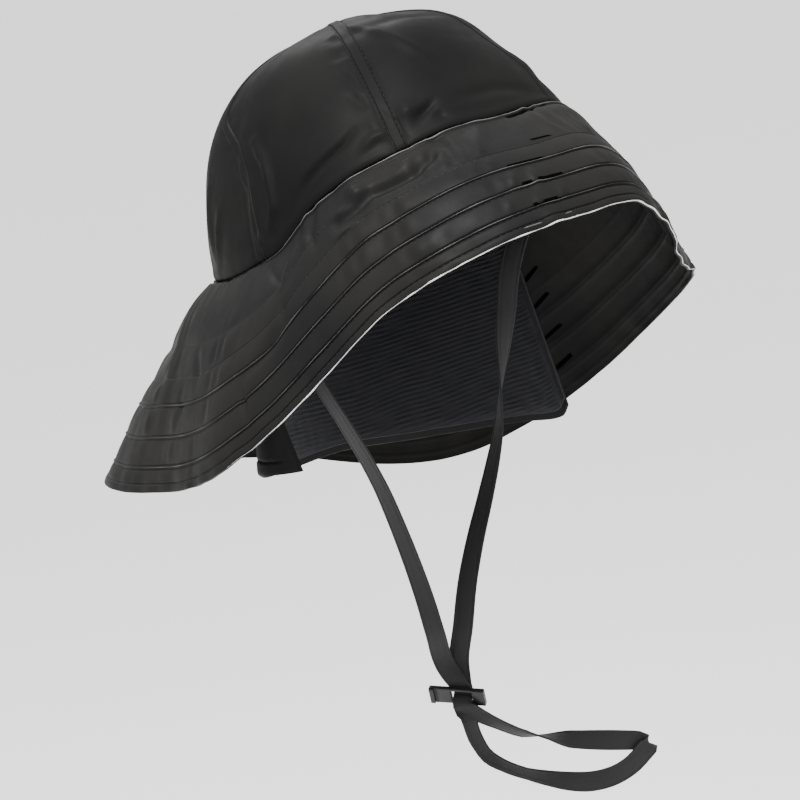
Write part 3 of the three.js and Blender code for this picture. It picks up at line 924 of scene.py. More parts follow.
# Near-black finish: the backtack threads are coloured near black to paint the deep shadow in the rows'
# valleys, and the inner bars are painted shadow only.
BACKTACK_THREAD_AND_SHADE = PlainFinish("backtack_thread_and_painted_shadow", (0.0004, 0.0004, 0.0005), (0.001, 0.001, 0.001), 0.95, 2500, 0.3, 0.02)
PLASTIC = PlainFinish("slider_plastic", (0.006, 0.006, 0.0065), (0.012, 0.012, 0.013), 0.42, 700, 0.15)


class Stitcher:
    """Sews a line of stitches, each a copy of one short rounded thread."""

    def __init__(self, length: float = 2.5, radius: float = 0.16, pitch: float = 3.1) -> None:
        """Models the one stitch: a thread that is thick in its middle and dips at both ends."""
        self.pitch = pitch
        bpy.ops.object.select_all(action="DESELECT")
        bpy.ops.mesh.primitive_cylinder_add(vertices=5, radius=radius, depth=length,
                                            rotation=(0, math.pi / 2, 0))
        stitch = bpy.context.object
        bpy.ops.object.transform_apply(rotation=True)
        bpy.ops.object.mode_set(mode="EDIT")
        for place in (-0.28, 0.28):
            bpy.ops.mesh.select_all(action="SELECT")
            bpy.ops.mesh.bisect(plane_co=(place * length, 0, 0), plane_no=(1, 0, 0))
        bpy.ops.object.mode_set(mode="OBJECT")
        corners = np.array([vertex.co for vertex in stitch.data.vertices])
        at_end = np.abs(corners[:, 0]) > 0.45 * length
        corners[at_end, 1:] *= 0.5
        corners[at_end, 2] -= 1.2 * radius
        self.corners = corners
        self.faces = [tuple(face.vertices) for face in stitch.data.polygons]
        bpy.data.objects.remove(stitch, do_unlink=True)
        self.length = length
        self.radius = radius
        self.points: list[Array] = []
        self.polygons: list[tuple[int, ...]] = []
        self.count = 0

    def sew(self, line: Array, normals: Array, sink: float = 0.0) -> None:
        """Lays stitches along a line of points with their normals."""
        steps = np.linalg.norm(np.diff(line, axis=0), axis=1)
        along = np.concatenate([[0], np.cumsum(steps)])
        count = int(along[-1] // self.pitch)
        if count < 1:
            return
        places = (np.arange(count) + 0.5) * along[-1] / count

        def at(where: Array, columns: Array) -> Array:
            return stack(*(np.interp(where, along, columns[:, i]) for i in range(3)))

        forward = unit(at(places + 0.4, line) - at(places - 0.4, line))
        sideways = unit(np.cross(unit(at(places, normals)), forward))
        upward = np.cross(forward, sideways)
        middle = at(places, line) - upward * sink
        for i in range(count):
            self._add(self.corners @ np.stack([forward[i], sideways[i], upward[i]]) + middle[i])

    def bar(self, start: Array, end: Array, normal: Array, width: float) -> None:
        """Lays long threads side by side from one place to another."""
        forward = unit(end - start)
        sideways = unit(np.cross(normal, forward))
        upward = np.cross(forward, sideways)
        stretch = np.array([np.linalg.norm(end - start) / self.length, 1.6, 1.3])
        threads = max(1, round(width / (3.0 * self.radius)))
        for i in range(threads):
            offset = ((i + 0.5) / threads - 0.5) * width
            middle = (start + end) / 2 + sideways * offset + forward * (0.3 * (-1) ** i)
            self._add((self.corners * stretch) @ np.stack([forward, sideways, upward]) + middle)

    def _add(self, corners: Array) -> None:
        """Adds one stitch's corners and faces."""
        self.points.append(corners)
        self.polygons += [tuple(self.count + corner for corner in face) for face in self.faces]
        self.count += len(corners)

    def finish(self, name: str, form: HatForm) -> bpy.types.Object:
        """All the stitches as one object."""
        points = form.tipped(np.concatenate(self.points))
        return mesh_object(name, points, self.polygons)


@dataclass
class Crown:
    """Six gores, felled together and topstitched, with the folds of worn cloth."""

    form: HatForm
    wall: float = 1.4
    felled_width: float = 6.8
    felled_height: float = 0.45
    stitch_inset: float = 0.5
    seam_to_apex: float = 141.0
    beside_seam: tuple[float, ...] = (0, 0.6, 1.2, 1.8, 2.3, 2.6, 2.9, 3.2, 3.5, 3.8, 4.3, 5.0)
    far_columns: int = 19
    rows: int = 88
    top: float = 0.992
    lean_at_seam: float = 5.5
    lean_at_top: float = -15.0
    lean_rate: float = 190.0
    lean_from: float = 0.19
    lean_corner: float = 0.4
    lean_reach: float = 22.0

    def _gore_places(self, rise: Array) -> Array:
        """Gore angles of each row's columns, at fixed distances beside each gore seam."""
        halves = []
        for gore in range(len(GORES)):
            radius = self._radius(np.full_like(rise, 30.0 + 60 * gore), rise)
            near = np.degrees(np.array(self.beside_seam) / radius[:, None])
            near = near * np.minimum(1, 15 / near[:, -1:])
            part = np.linspace(0, 1, self.far_columns + 1)[1:]
            halves.append(np.concatenate([near, near[:, -1:] + (30 - near[:, -1:]) * part], axis=1))
        places = []
        for gore, half in enumerate(halves):
            after = halves[(gore + 1) % len(GORES)]
            places += [30 + 60 * gore + half, 90 + 60 * gore - after[:, 1:-1][:, ::-1]]
        return np.concatenate(places, axis=1)

    def _radius(self, angle: Array, rise: Array) -> Array:
        """Level distance from the apex."""
        point = self.form.crown(angle, rise)
        return np.hypot(point[..., 0], point[..., 1] - self.form.apex_back)

    def lean(self, gore_angle: Array, rise: Array) -> Array:
        """Angle of a place given by its gore angle: the near side seam leans back as it rises."""
        turn = signed_turn(gore_angle + 90)
        above_top = (self.lean_at_seam - self.lean_at_top
                     - self.lean_rate * np.clip(rise - self.lean_from, 0, 1) ** 2)
        leaning = np.logaddexp(0, self.lean_corner * above_top) / self.lean_corner + self.lean_at_top
        return gore_angle + leaning * bump_shape(turn, self.lean_reach)

    def seam_distance(self, angle: Array, point: Array) -> Array:
        """Signed distance round the crown to the nearest gore seam."""
        offset = np.mod(angle - 30 + 30, 60) - 30
        radius = np.hypot(point[..., 0], point[..., 1] - self.form.apex_back)
        return np.radians(offset) * radius

    def relief(self, gore_angle: Array, rise: Array, point: Array) -> Array:
        """Height of seams, puckers and folds over the plain crown."""
        angle = self.lean(gore_angle, rise)
        across = self.seam_distance(gore_angle, point)
        half = self.felled_width / 2
        fade = np.clip((self.top - rise) * 30, 0, 1)
        felled = self.felled_height * np.exp(-((np.abs(across) / half) ** 6))
        groove = sum(bump_shape(across - side * (half - self.stitch_inset), 0.34) for side in (-1, 1))
        edge = bump_shape(np.abs(across) - half - 0.5, 0.5)
        beside = np.clip(np.abs(across) - half, 0, None)
        slack = 0.08 + 0.2 * bump_shape(signed_turn(angle + 36), 6.0)
        wave = ripple(point, 9.0, 3) + 0.5 * ripple(point, 5.0, 4)
        pucker = slack * bump_shape(beside, 8.0) * (beside > 0) * wave
        relief = fade * (felled - 0.8 * groove - 0.25 * edge + pucker)
        relief = relief + 0.8 * ripple(point, 60.0, 7) * np.sin(math.pi * np.clip(rise * 1.1, 0, 1))
        from_seam = rise * self.seam_to_apex
        relief = relief + 0.5 * bump_shape(from_seam - 3.6, 2.2)
        relief = relief - (1.4 - 0.8 * seam_side(angle)) * bump_shape(from_seam, 0.9)
        relief = relief + swell_relief(angle, rise, CROWN_SWELLS)
        return relief + fold_relief(point, self.form.crown, CROWN_FOLDS)

    def surface(self, gore_angle: Array, rise: Array) -> tuple[Array, Array]:
        """Outer points and their normals."""
        angle = self.lean(gore_angle, rise)
        point = self.form.crown(angle, rise)
        normal = face_normals(self.form.crown, angle, rise, np.zeros(3), self.top)
        return point + normal * self.relief(gore_angle, rise, point)[..., None], normal

    def build(self) -> bpy.types.Object:
        """The crown as one closed wall, with a small closing disc at its apex."""
        edge = np.array([0.4, 0.8, 1.2, 1.6, 2.0, 2.4, 2.9, 3.6, 4.4]) / self.seam_to_apex
        rise = np.concatenate([edge, np.linspace(edge[-1] * 1.25, self.top, self.rows)])
        grid_angle = self._gore_places(rise)
        grid_rise = np.broadcast_to(rise[:, None], grid_angle.shape)
        outer, normal = self.surface(grid_angle, grid_rise)
        inner = outer - normal * self.wall
        apex = np.array([0, self.form.apex_back, self.form.crown_height + 0.15])
        tip = np.broadcast_to(apex, (1, grid_angle.shape[1], 3))
        outer = np.concatenate([outer, tip])
        inner = np.concatenate([inner, tip - [0, 0, self.wall]])
        piece = wall_object("crown", self.form.tipped(outer), self.form.tipped(inner), True)
        select_only(piece)
        bpy.ops.object.mode_set(mode="EDIT")
        bpy.ops.mesh.select_all(action="SELECT")
        bpy.ops.mesh.remove_doubles(threshold=1e-6)
        bpy.ops.object.mode_set(mode="OBJECT")
        return piece

    def sew(self, stitcher: Stitcher) -> None:
        """Stitches both sides of each gore seam."""
        rise = np.linspace(0.03, 0.93, 160)
        for gore in range(len(GORES)):
            middle = 30 + 60 * gore
            for side in (-1, 1):
                radius = self._radius(np.full_like(rise, middle), rise)
                shift = np.degrees(side * (self.felled_width / 2 - self.stitch_inset) / radius)
                line, normal = self.surface(middle + shift, rise)
                stitcher.sew(line, normal, 0.05)


@dataclass
class Brim:
    """One ring of cloth, stitched round in rows, with a light cut edge."""

    form: HatForm
    wall: float = 1.6
    near_columns: int = 433
    far_columns: int = 62
    near_side: tuple[float, float] = (-130.0, 130.0)
    groove: float = 0.7
    groove_width: float = 0.33
    pair: float = 0.75
    fixed_reach: float = 50.0
    row_margin: float = 16.0

    def scale(self, angle: Array) -> Array:
        """How much wider the rows lie than where the brim is shortest."""
        return np.sqrt(self.form.brim_length(angle) / self.form.brim_reference)

    def share_at(self, angle: Array, from_rim: Array) -> Array:
        """Share of the brim at a row's distance from the rim."""
        return 1 - from_rim * self.scale(angle) / self.form.brim_length(angle)

    def _lines(self, coarse: bool) -> Array:
        """Distances from the rim of the grid's lines."""
        near = (-1.4, -0.75, 0, 0.75, 1.4) if coarse else (
            -1.9, -1.35, -1.05, -0.75, -0.45, -0.2, 0, 0.2, 0.45, 0.75, 1.05, 1.35, 1.9)
        lines = [0.0, 0.6, 1.4]
        for row in STITCH_ROWS:
            if row.from_rim < self.fixed_reach:
                lines += [row.from_rim + step for step in near]
        rows = np.array([row.from_rim for row in STITCH_ROWS])
        gaps = np.arange(7.0, self.fixed_reach, 4.0 if coarse else 2.2)
        lines += [gap for gap in gaps if np.min(np.abs(rows - gap)) > 2.6]
        return np.array(sorted([*lines, self.fixed_reach]))

    def places(self, coarse: bool) -> tuple[Array, Array]:
        """Angles and shares of the grid, from the rim to the seam."""
        start, end = self.near_side
        angle = np.concatenate([np.linspace(start, end, self.near_columns, endpoint=False),
                                np.linspace(end, start + 360, self.far_columns, endpoint=False)])
        fixed = self.share_at(angle[None, :], self._lines(coarse)[:, None])
        edge = np.array([3.4, 2.8, 2.3, 1.9, 1.5, 1.1, 0.7, 0.3, 0.0])[:, None]
        edge = edge / self.form.brim_length(angle)
        part = np.linspace(0, 1, 10 if coarse else 32)[1:-1, None]
        rest = fixed[-1] * (1 - part) + edge[0] * part
        share = np.concatenate([fixed, rest, edge])
        return np.broadcast_to(angle, share.shape), share

    def relief(self, angle: Array, share: Array, point: Array, depth: float = 1.0) -> Array:
        """Height of stitched rows, puckers and folds over the plain brim."""
        length = self.form.brim_length(angle)
        from_rim = (1 - share) * length / self.scale(angle)
        from_seam = share * length
        relief = np.zeros(share.shape)
        nearest = np.full(share.shape, 99.0)
        for row in STITCH_ROWS:
            shown = np.clip((length / self.scale(angle) - row.from_rim - self.row_margin) / 3, 0, 1)
            offset = from_rim - row.from_rim
            nearest = np.minimum(nearest, np.where(shown > 0.3, np.abs(offset), 99))
            if row.section is Section.DOUBLE:
                pair = sum(bump_shape(offset - side * self.pair, self.groove_width) for side in (-1, 1))
                relief = relief + shown * (0.4 * bump_shape(offset, 0.3) - self.groove * pair)
            else:
                relief = relief - row.strength * shown * self.groove * bump_shape(offset, self.groove_width)
        between = 1 - bump_shape(nearest, 3.2)
        sideways = ripple(self.form.seam(angle) * 1.4, 10.0, 11)
        patches = np.clip(ripple(point, 45.0, 12) + 0.2, 0, 1.2)
        pillow = 0.3 * between + 0.42 * between * sideways * patches
        side, sag = seam_side(angle), seam_sag(angle)
        piping = 0.4 * (1 - sag) * bump_shape(from_seam - 1.3, 0.5) - (1 - 0.5 * side) * bump_shape(
            from_seam, 0.5)
        piping = piping - (0.6 + 0.9 * side) * bump_shape(
            from_seam - 2.4 + 1.9 * sag, 0.4 + 0.35 * side)
        rim = -0.3 * bump_shape(from_rim, 1.0) + 0.45 * ripple(point, 20.0, 14) * bump_shape(from_rim, 8.0)
        slow = 0.6 * ripple(point, 70.0, 15) * np.clip(from_seam / 20, 0, 1)
        slow = slow + swell_relief(angle, share, BRIM_SWELLS)
        folds = fold_relief(point, self.form.brim, BRIM_FOLDS)
        return depth * (relief + pillow) + piping + rim + slow + folds

    def surface(self, angle: Array, share: Array, sunk: float = 0.0, depth: float = 1.0
                ) -> tuple[Array, Array]:
        """Points of the brim's face, sunk into its wall, and their normals."""
        below = np.array([0.0, 0.0, -150.0])
        point = self.form.brim(angle, share)
        normal = face_normals(self.form.brim, angle, share, below)
        height = self.relief(angle, share, point, depth) - sunk
        return point + normal * height[..., None], normal

    def build(self) -> bpy.types.Object:
        """The brim as one closed ring."""
        outer, _ = self.surface(*self.places(False))
        inner, _ = self.surface(*self.places(True), self.wall, 0.5)
        return wall_object("brim_cloth", self.form.tipped(outer), self.form.tipped(inner), True)

    def _bead(self, name: str, middle: Array, outward: Array, across: Array, thick: Array
              ) -> bpy.types.Object:
        """A fine cord along a line of points, drawn out to nothing at both ends.

        Args:
            name: The object's name.
            middle: Points along its middle.
            outward: The cloth's normal at each.
            across: Direction down the cloth at each.
            thick: Half thickness at each.

        Returns:
            The new object.
        """
        count, sides = len(middle), 8
        ends = np.minimum(np.arange(count), np.arange(count)[::-1]) / 30
        thick = (thick * np.clip(ends, 0.1, 1))[:, None]
        turn = np.linspace(0, 2 * math.pi, sides, endpoint=False)[:, None, None]
        grid = middle[None] + thick * (outward[None] * np.cos(turn) + 0.8 * across[None] * np.sin(turn))
        points = self.form.tipped(grid.transpose(1, 0, 2).reshape(-1, 3))
        faces = grid_faces(count, sides, 0, True, False)
        faces.append(tuple(range(sides))[::-1])
        faces.append(tuple((count - 1) * sides + i for i in range(sides)))
        return mesh_object(name, points, faces)

    def build_edge(self) -> bpy.types.Object:
        """The light cut edge, a thin cord of bare cloth along the rim."""
        angle = np.linspace(-88, 128, 420)
        top, normal = self.surface(angle, np.ones(len(angle)))
        down = unit(self.form.brim(angle, np.ones(len(angle)))
                    - self.form.brim(angle, np.full(len(angle), 0.985)))
        thick = 0.34 * np.clip(1 + 0.4 * ripple(top, 13.0, 51), 0.4, 1.5)
        thick = thick * (1 - 0.35 * np.clip((angle - 15) / 30, 0, 1))
        return self._bead("brim_cut_edge", top - normal * 0.5 + down * 0.05, normal, down, thick)

    def build_welt(self) -> bpy.types.Object:
        """The lip of the seam, a light cord that paints the highlight along it, which sinks away at the
        wearer's right side.
        """
        angle = np.linspace(-92, 50, 420)
        base = self.form.seam(angle)
        down = unit(self.form.brim(angle, np.full(len(angle), 0.03)) - base)
        sag = seam_sag(angle)
        share = np.maximum(1.3 - 1.7 * sag, 0.1) / self.form.brim_length(angle)
        middle, normal = self.surface(angle, share)
        middle = middle + normal * 0.12
        thick = 0.34 * (1 - 0.4 * seam_side(angle)) * (1 - 0.6 * sag)
        thick = thick * np.clip(1 + 0.3 * ripple(base, 17.0, 52), 0.5, 1.4)
        return self._bead("brim_seam_lip", middle, normal, down, thick)

    def build_ridges(self) -> list[bpy.types.Object]:
        """The ridges between the paired rows of stitches, light cords that paint their highlight."""
        ridges = []
        angle = np.linspace(-128, 58, 520)
        for number, row in enumerate(row for row in STITCH_ROWS if row.section is Section.DOUBLE):
            share = self.share_at(angle, np.full(len(angle), row.from_rim))
            line, normal = self.surface(angle, share)
            below, _ = self.surface(angle, share + 0.004)
            thick = 0.22 * np.clip(0.9 + 0.7 * ripple(line, 22.0, 53 + number), 0.15, 1.5)
            thick = thick * (0.6 + 0.4 * np.clip((angle + 55) / 25, 0, 1))
            ridges.append(self._bead(f"brim_ridge_{number}", line, normal,
                                     unit(below - line), thick))
        return ridges

    def tack(self, stitcher: Stitcher, frayed: bool) -> None:
        """Sews the short bars where the rows end, the frayed ones or the others."""
        for tack in BACKTACKS_AND_INNER_SHADOWS:
            if tack.frayed is not frayed:
                continue
            parts = max(1, round(abs(tack.end[0] - tack.start[0]) / 2))
            angle, share = np.linspace(tack.start, tack.end, parts + 1).T
            # Inner bars lie on the inner face as painted shadow.
            points, normals = self.surface(angle, share, self.wall + 0.3 if tack.inner else -0.05)
            for step in range(parts):
                upward = -normals[step] if tack.inner else normals[step]
                reach = 0.35 * (points[step + 1] - points[step])
                stitcher.bar(points[step] - reach, points[step + 1] + reach, upward, tack.width)

    def sew(self, stitcher: Stitcher) -> None:
        """Stitches every row, and the line under the seam."""
        angle = np.linspace(0, 360, 700)
        for row in STITCH_ROWS:
            sides = (-self.pair, self.pair) if row.section is Section.DOUBLE else (0.0,)
            for side in sides:
                share = self.share_at(angle, row.from_rim + side)
                shown = share * self.form.brim_length(angle) > self.row_margin
                for part in np.split(np.arange(len(angle)), np.where(np.diff(shown.astype(int)))[0] + 1):
                    if shown[part[0]] and len(part) > 8:
                        line, normal = self.surface(angle[part], share[part])
                        stitcher.sew(line, normal)


@dataclass
class EarFlap:
    """The band round the back and over the ears: coated cloth outside, ribbed knit inside."""

    form: HatForm
    shell_wall: float = 1.0
    lining_gap: float = 0.7
    lining_wall: float = 1.6
    rib_pitch: float = 2.2
    border: float = 5.0
    short_below: float = 0.03
    short_at_ends: float = 2.0
    shell_short: float = 2.3
    hem_depth: float = 7.0
    rib_height: float = 0.5

    def shell(self) -> bpy.types.Object:
        """The outer cloth, with a turned hem along its lower edge and ends."""
        angle = np.linspace(FLAP_ROWS[0].at + self.shell_short, FLAP_ROWS[-1].at, 150)
        share = np.concatenate([np.linspace(0, 0.9, 50), np.linspace(0.905, 1, 24)])
        grid_angle, grid_share = np.meshgrid(angle, share)
        plain = self.form.flap(grid_angle, grid_share, 0)
        outward = self.form.outward(grid_angle)
        below = (1 - grid_share) * 110
        ends = np.minimum(grid_angle - angle[0], angle[-1] - grid_angle) * 1.6
        hem = np.minimum(below, ends)
        groove = -0.35 * bump_shape(hem - self.hem_depth, 0.7) - 0.25 * bump_shape(hem, 1.2)
        raised = 0.3 * np.clip((self.hem_depth - hem) / 1.2, 0, 1)
        soft = 0.8 * ripple(plain, 40, 21) * np.clip(below / 40, 0, 1) * np.clip(ends / 20, 0, 1)
        outer = plain + outward * (groove + raised + np.minimum(soft, 0.5))[..., None]
        inner = self.form.flap(grid_angle, grid_share, self.shell_wall)
        return wall_object("ear_flap_cloth", self.form.tipped(outer), self.form.tipped(inner), False)

    def lining(self) -> bpy.types.Object:
        """The knitted lining, whose ribs run round the band."""
        angle = np.linspace(FLAP_ROWS[0].at + self.short_at_ends, FLAP_ROWS[-1].at - self.short_at_ends, 110)
        deepest = 120.0
        samples = int(deepest / self.rib_pitch * 5)
        share = np.linspace(0, 1 - self.short_below, samples)
        grid_angle, grid_share = np.meshgrid(angle, share)
        outer = self.form.flap(grid_angle, grid_share, self.shell_wall + self.lining_gap)
        deep = open_column(FLAP_ROWS, grid_angle, "deep")
        sunk = self.shell_wall + self.lining_gap + self.lining_wall
        inner = self.form.flap(grid_angle, grid_share, sunk)
        wander = 0.5 * ripple(inner, 34, 31) + 0.12 * ripple(inner, 7, 32)
        rib = np.abs(np.sin(math.pi * (grid_share * deep + wander) / self.rib_pitch))
        knots = 0.08 * np.sin(np.radians(grid_angle) * 90 / 1.1)
        ends = np.minimum(grid_angle - angle[0], angle[-1] - grid_angle) * 1.6
        edge = np.clip(ends / 4, 0, 1) * np.clip((share[-1] - grid_share) * deep / 3, 0, 1)
        broken = np.clip(0.75 + 0.45 * ripple(inner, 9, 33), 0.2, 1.3)
        hem = 0.35 * bump_shape(ends * 1.3 - self.border, 0.9)
        height = (self.rib_height * rib * broken + knots - 0.2) * edge - 0.5 * (1 - edge) - hem
        inner = inner - self.form.outward(grid_angle) * height[..., None]
        return wall_object("ear_flap_knit", self.form.tipped(outer), self.form.tipped(inner), False)


def axes(heading: float, lean: float = 0.0, roll: float = 0.0) -> Array:
    """Rows are the directions across a face, up, and out of it.

    Args:
        heading: Compass direction of the way across, in degrees from +X.
        lean: How far the top comes outwards, in degrees.
        roll: How far the end that across points to is lifted, in degrees.

    Returns:
        Three unit vectors.
    """
    turn, lean, roll = (math.radians(value) for value in (heading, lean, roll))
    level = np.array([math.cos(turn), math.sin(turn), 0.0])
    plumb = np.array([0.0, 0.0, 1.0])
    leaning = plumb * math.cos(lean) + np.cross(level, plumb) * math.sin(lean)
    across = level * math.cos(roll) + leaning * math.sin(roll)
    up = leaning * math.cos(roll) - level * math.sin(roll)
    return np.stack([across, up, np.cross(across, up)])


@dataclass
class StrapSlider:
    """Small moulded slider with two slots, a lip at one end and a rounded edge."""

    place: tuple[float, float, float] = (-1.3, -3.0, -247.4)
    heading: float = -54.0
    lean: float = 24.0
    roll: float = -4.0
    width: float = 28.0
    low: float = -6.3
    high: float = 3.3
    thick: float = 2.2
    slot_ends: tuple[float, float] = (-3.1, 7.9)
    slots: tuple[tuple[float, float], ...] = ((-4.9, -1.1), (0.7, 1.9))
    lip: tuple[float, float] = (-11.6, -10.2)

    def own_axes(self) -> Array:
        """Directions across the slider, up, and out of its face."""
        return axes(self.heading, self.lean, self.roll)

    def build(self) -> bpy.types.Object:
        """The slider: a plate cut at its slots, thickened, lipped and rounded."""
        bpy.ops.object.select_all(action="DESELECT")
        bpy.ops.mesh.primitive_plane_add(size=1)
        piece = bpy.context.object
        piece.name = "slider_moulding"
        piece.scale = (self.width, self.high - self.low, 1)
        piece.location = (0, (self.high + self.low) / 2, 0)
        bpy.ops.object.transform_apply(location=True, scale=True)
        bpy.ops.object.mode_set(mode="EDIT")
        left, right = self.slot_ends
        cuts = [((place, 0, 0), (1, 0, 0)) for place in (*self.lip, left, right)]
        cuts += [((0, level, 0), (0, 1, 0)) for slot in self.slots for level in slot]
        for place, normal in cuts:
            bpy.ops.mesh.select_all(action="SELECT")
            bpy.ops.mesh.bisect(plane_co=place, plane_no=normal)
        self._select_faces(piece, lambda x, y: left < x < right and any(
            low < y < high for low, high in self.slots))
        bpy.ops.mesh.delete(type="FACE")
        bpy.ops.mesh.select_all(action="SELECT")
        bpy.ops.mesh.extrude_region_move(TRANSFORM_OT_translate={"value": (0, 0, self.thick)})
        bpy.ops.mesh.select_all(action="SELECT")
        bpy.ops.transform.translate(value=(0, 0, -self.thick / 2))
        for wanted, height in ((lambda x, y: x < self.lip[0], 0.9),
                               (lambda x, y: self.lip[0] < x < self.lip[1], -0.6),
                               (lambda x, y: x > right + 1.2, 0.5)):
            self._select_faces(piece, wanted, top_only=True)
            bpy.ops.mesh.extrude_region_move(TRANSFORM_OT_translate={"value": (0, 0, height)})
        bpy.ops.mesh.select_all(action="SELECT")
        bpy.ops.mesh.normals_make_consistent(inside=False)
        bpy.ops.object.mode_set(mode="OBJECT")
        bevel = piece.modifiers.new("rounded", "BEVEL")
        bevel.width, bevel.segments, bevel.limit_method = 0.4, 3, "ANGLE"
        select_only(piece)
        bpy.ops.object.modifier_apply(modifier=bevel.name)
        frame_axes = Matrix([list(row) for row in self.own_axes()]).transposed().to_4x4()
        piece.data.transform(Matrix.Translation(Vector(self.place) * MM) @ frame_axes @ Matrix.Scale(MM, 4))
        select_only(piece)
        bpy.ops.object.shade_smooth_by_angle(angle=math.radians(40))
        return piece

    def _select_faces(self, piece: bpy.types.Object, wanted: Callable[[float, float], bool],
                      top_only: bool = False) -> None:
        """Selects the faces whose middle is wanted, in edit mode."""
        bpy.ops.mesh.select_all(action="DESELECT")
        bpy.ops.object.mode_set(mode="OBJECT")
        for face in piece.data.polygons:
            chosen = wanted(face.center.x, face.center.y)
            if top_only:
                chosen = chosen and face.normal.z > 0.9 and face.center.z > 0
            face.select = chosen
        bpy.ops.object.mode_set(mode="EDIT")
        bpy.ops.mesh.select_mode(type="FACE")


@dataclass
class ChinStrap:
    """One flat woven tape from ear to ear, through the slider and round its loop."""

    slider: StrapSlider
    width: float = 10.0
    thick: float = 1.0
    leg_y: float = -3.0
    step: float = 3.0

    def route(self) -> tuple[Array, Array]:
        """Places along the tape in millimetres, and the direction of its width at each."""
        def leg(rows: Sequence[LegRow]) -> tuple[list, list]:
            return ([[row.x, self.leg_y, row.z] for row in rows],
                    [[math.cos(math.radians(row.turn)), math.sin(math.radians(row.turn)), 0] for row in rows])
        near, near_side = leg(NEAR_LEG)
        far, far_side = leg(FAR_LEG[::-1])
        frames = {True: self.slider.own_axes(), False: axes(HANG_HEADING)}
        loop = np.array([np.array([row.across, row.up, row.out]) @ frames[row.held] for row in LOOP])
        loop = loop + np.array(self.slider.place)
        loop_side = np.array([np.array(row.side) @ frames[row.held] for row in LOOP])
        places = np.concatenate([near, loop, far])
        sides = unit(np.concatenate([near_side, loop_side, far_side]))
        return places, sides

    def smooth_route(self) -> tuple[Array, Array]:
        """The route with more places, on a curve through the given ones."""
        places, sides = self.route()
        lengths = np.linalg.norm(np.diff(places, axis=0), axis=1)
        count = len(places)
        points, widths = [], []
        for i in range(count - 1):
            parts = max(1, int(round(lengths[i] / self.step)))
            share = np.arange(parts)[:, None] / parts
            rows = [places[min(max(i + j, 0), count - 1)] for j in (-1, 0, 1, 2)]
            span = [max(lengths[min(max(i + j, 0), count - 2)], 1e-6) for j in (-1, 0, 1)]
            slope_in = span[1] * ((rows[1] - rows[0]) * span[1] / span[0] + (rows[2] - rows[1])
                                  * span[0] / span[1]) / (span[0] + span[1])
            slope_out = span[1] * ((rows[2] - rows[1]) * span[2] / span[1] + (rows[3] - rows[2])
                                   * span[1] / span[2]) / (span[1] + span[2])
            if i == 0:
                slope_in = rows[2] - rows[1]
            if i == count - 2:
                slope_out = rows[2] - rows[1]
            square, cube = share**2, share**3
            points.append((2 * cube - 3 * square + 1) * rows[1] + (cube - 2 * square + share) * slope_in
                          + (3 * square - 2 * cube) * rows[2] + (cube - square) * slope_out)
            widths.append(sides[i] * (1 - share) + sides[i + 1] * share)
        points.append(places[-1:])
        widths.append(sides[-1:])
        return np.concatenate(points), unit(np.concatenate(widths))

    def section(self) -> Array:
        """Half of the tape's cross-section is raised at its edges, with a stitched groove inside."""
        half, thick = self.width / 2, self.thick / 2
        upper = [(half, 0.0), (half - 0.12, 0.72 * thick), (half - 0.5, thick), (half - 1.0, thick),
                 (half - 1.4, 0.55 * thick), (half - 1.8, 0.9 * thick), (1.2, 0.86 * thick)]
        top = upper + [(-x, y) for x, y in upper[::-1]]
        return np.array(top + [(-x, -y) for x, y in top[1:-1]])

    def build(self) -> tuple[bpy.types.Object, Array]:
        """The tape, and the places along its middle."""
        points, sides = self.smooth_route()
        ahead = np.concatenate([points[1:], points[-1:]]) - points
        behind = points - np.concatenate([points[:1], points[:-1]])
        along = unit(unit(ahead) + unit(behind))
        sides = unit(sides - along * np.sum(sides * along, axis=1, keepdims=True))
        flat = np.cross(along, sides)
        section = self.section()
        ring = (points[:, None] + sides[:, None] * section[None, :, :1]
                + flat[:, None] * section[None, :, 1:])
        count, corners = len(points), len(section)
        faces = grid_faces(count, corners, 0, True, False)
        faces.append(tuple(range(corners))[::-1])
        faces.append(tuple((count - 1) * corners + i for i in range(corners)))
        length = np.concatenate([[0], np.cumsum(np.linalg.norm(np.diff(points, axis=0), axis=1))])
        u = np.broadcast_to(section[None, :, 0], (count, corners))
        v = np.broadcast_to(length[:, None], (count, corners))
        uvs = np.stack([u, v], axis=-1).reshape(-1, 2) * MM
        piece = mesh_object("chin_strap_tape", ring.reshape(-1, 3), faces, uvs)
        select_only(piece)
        bpy.ops.object.mode_set(mode="EDIT")
        bpy.ops.mesh.select_all(action="SELECT")
        bpy.ops.mesh.normals_make_consistent(inside=False)
        bpy.ops.object.mode_set(mode="OBJECT")
        return piece, points


@dataclass(frozen=True)
class SoftLight:
    """A square soft light that faces the hat: place and side in metres, power in watts."""

    name: str
    place: tuple[float, float, float]
    side: float
    power: float

    def add(self) -> None:
        """Adds the light."""
        data = bpy.data.lights.new(self.name, "AREA")
        data.shape, data.size, data.energy = "SQUARE", self.side, self.power
        lamp = bpy.data.objects.new(self.name, data)
        lamp.location = self.place
        lamp.rotation_mode = "QUATERNION"
        ahead = Vector(HAT_MIDDLE) - Vector(self.place)
        lamp.rotation_quaternion = ahead.to_track_quat("-Z", "Y")
        bpy.context.collection.objects.link(lamp)


SOFT_LIGHTS = (
    SoftLight("key", (-1.0, -0.5, 2.0), 0.9, 200),
    SoftLight("fill", (0.5, -1.9, -0.5), 1.2, 17),
    SoftLight("rim", (0.6, 1.8, 1.4), 1.2, 30),
)


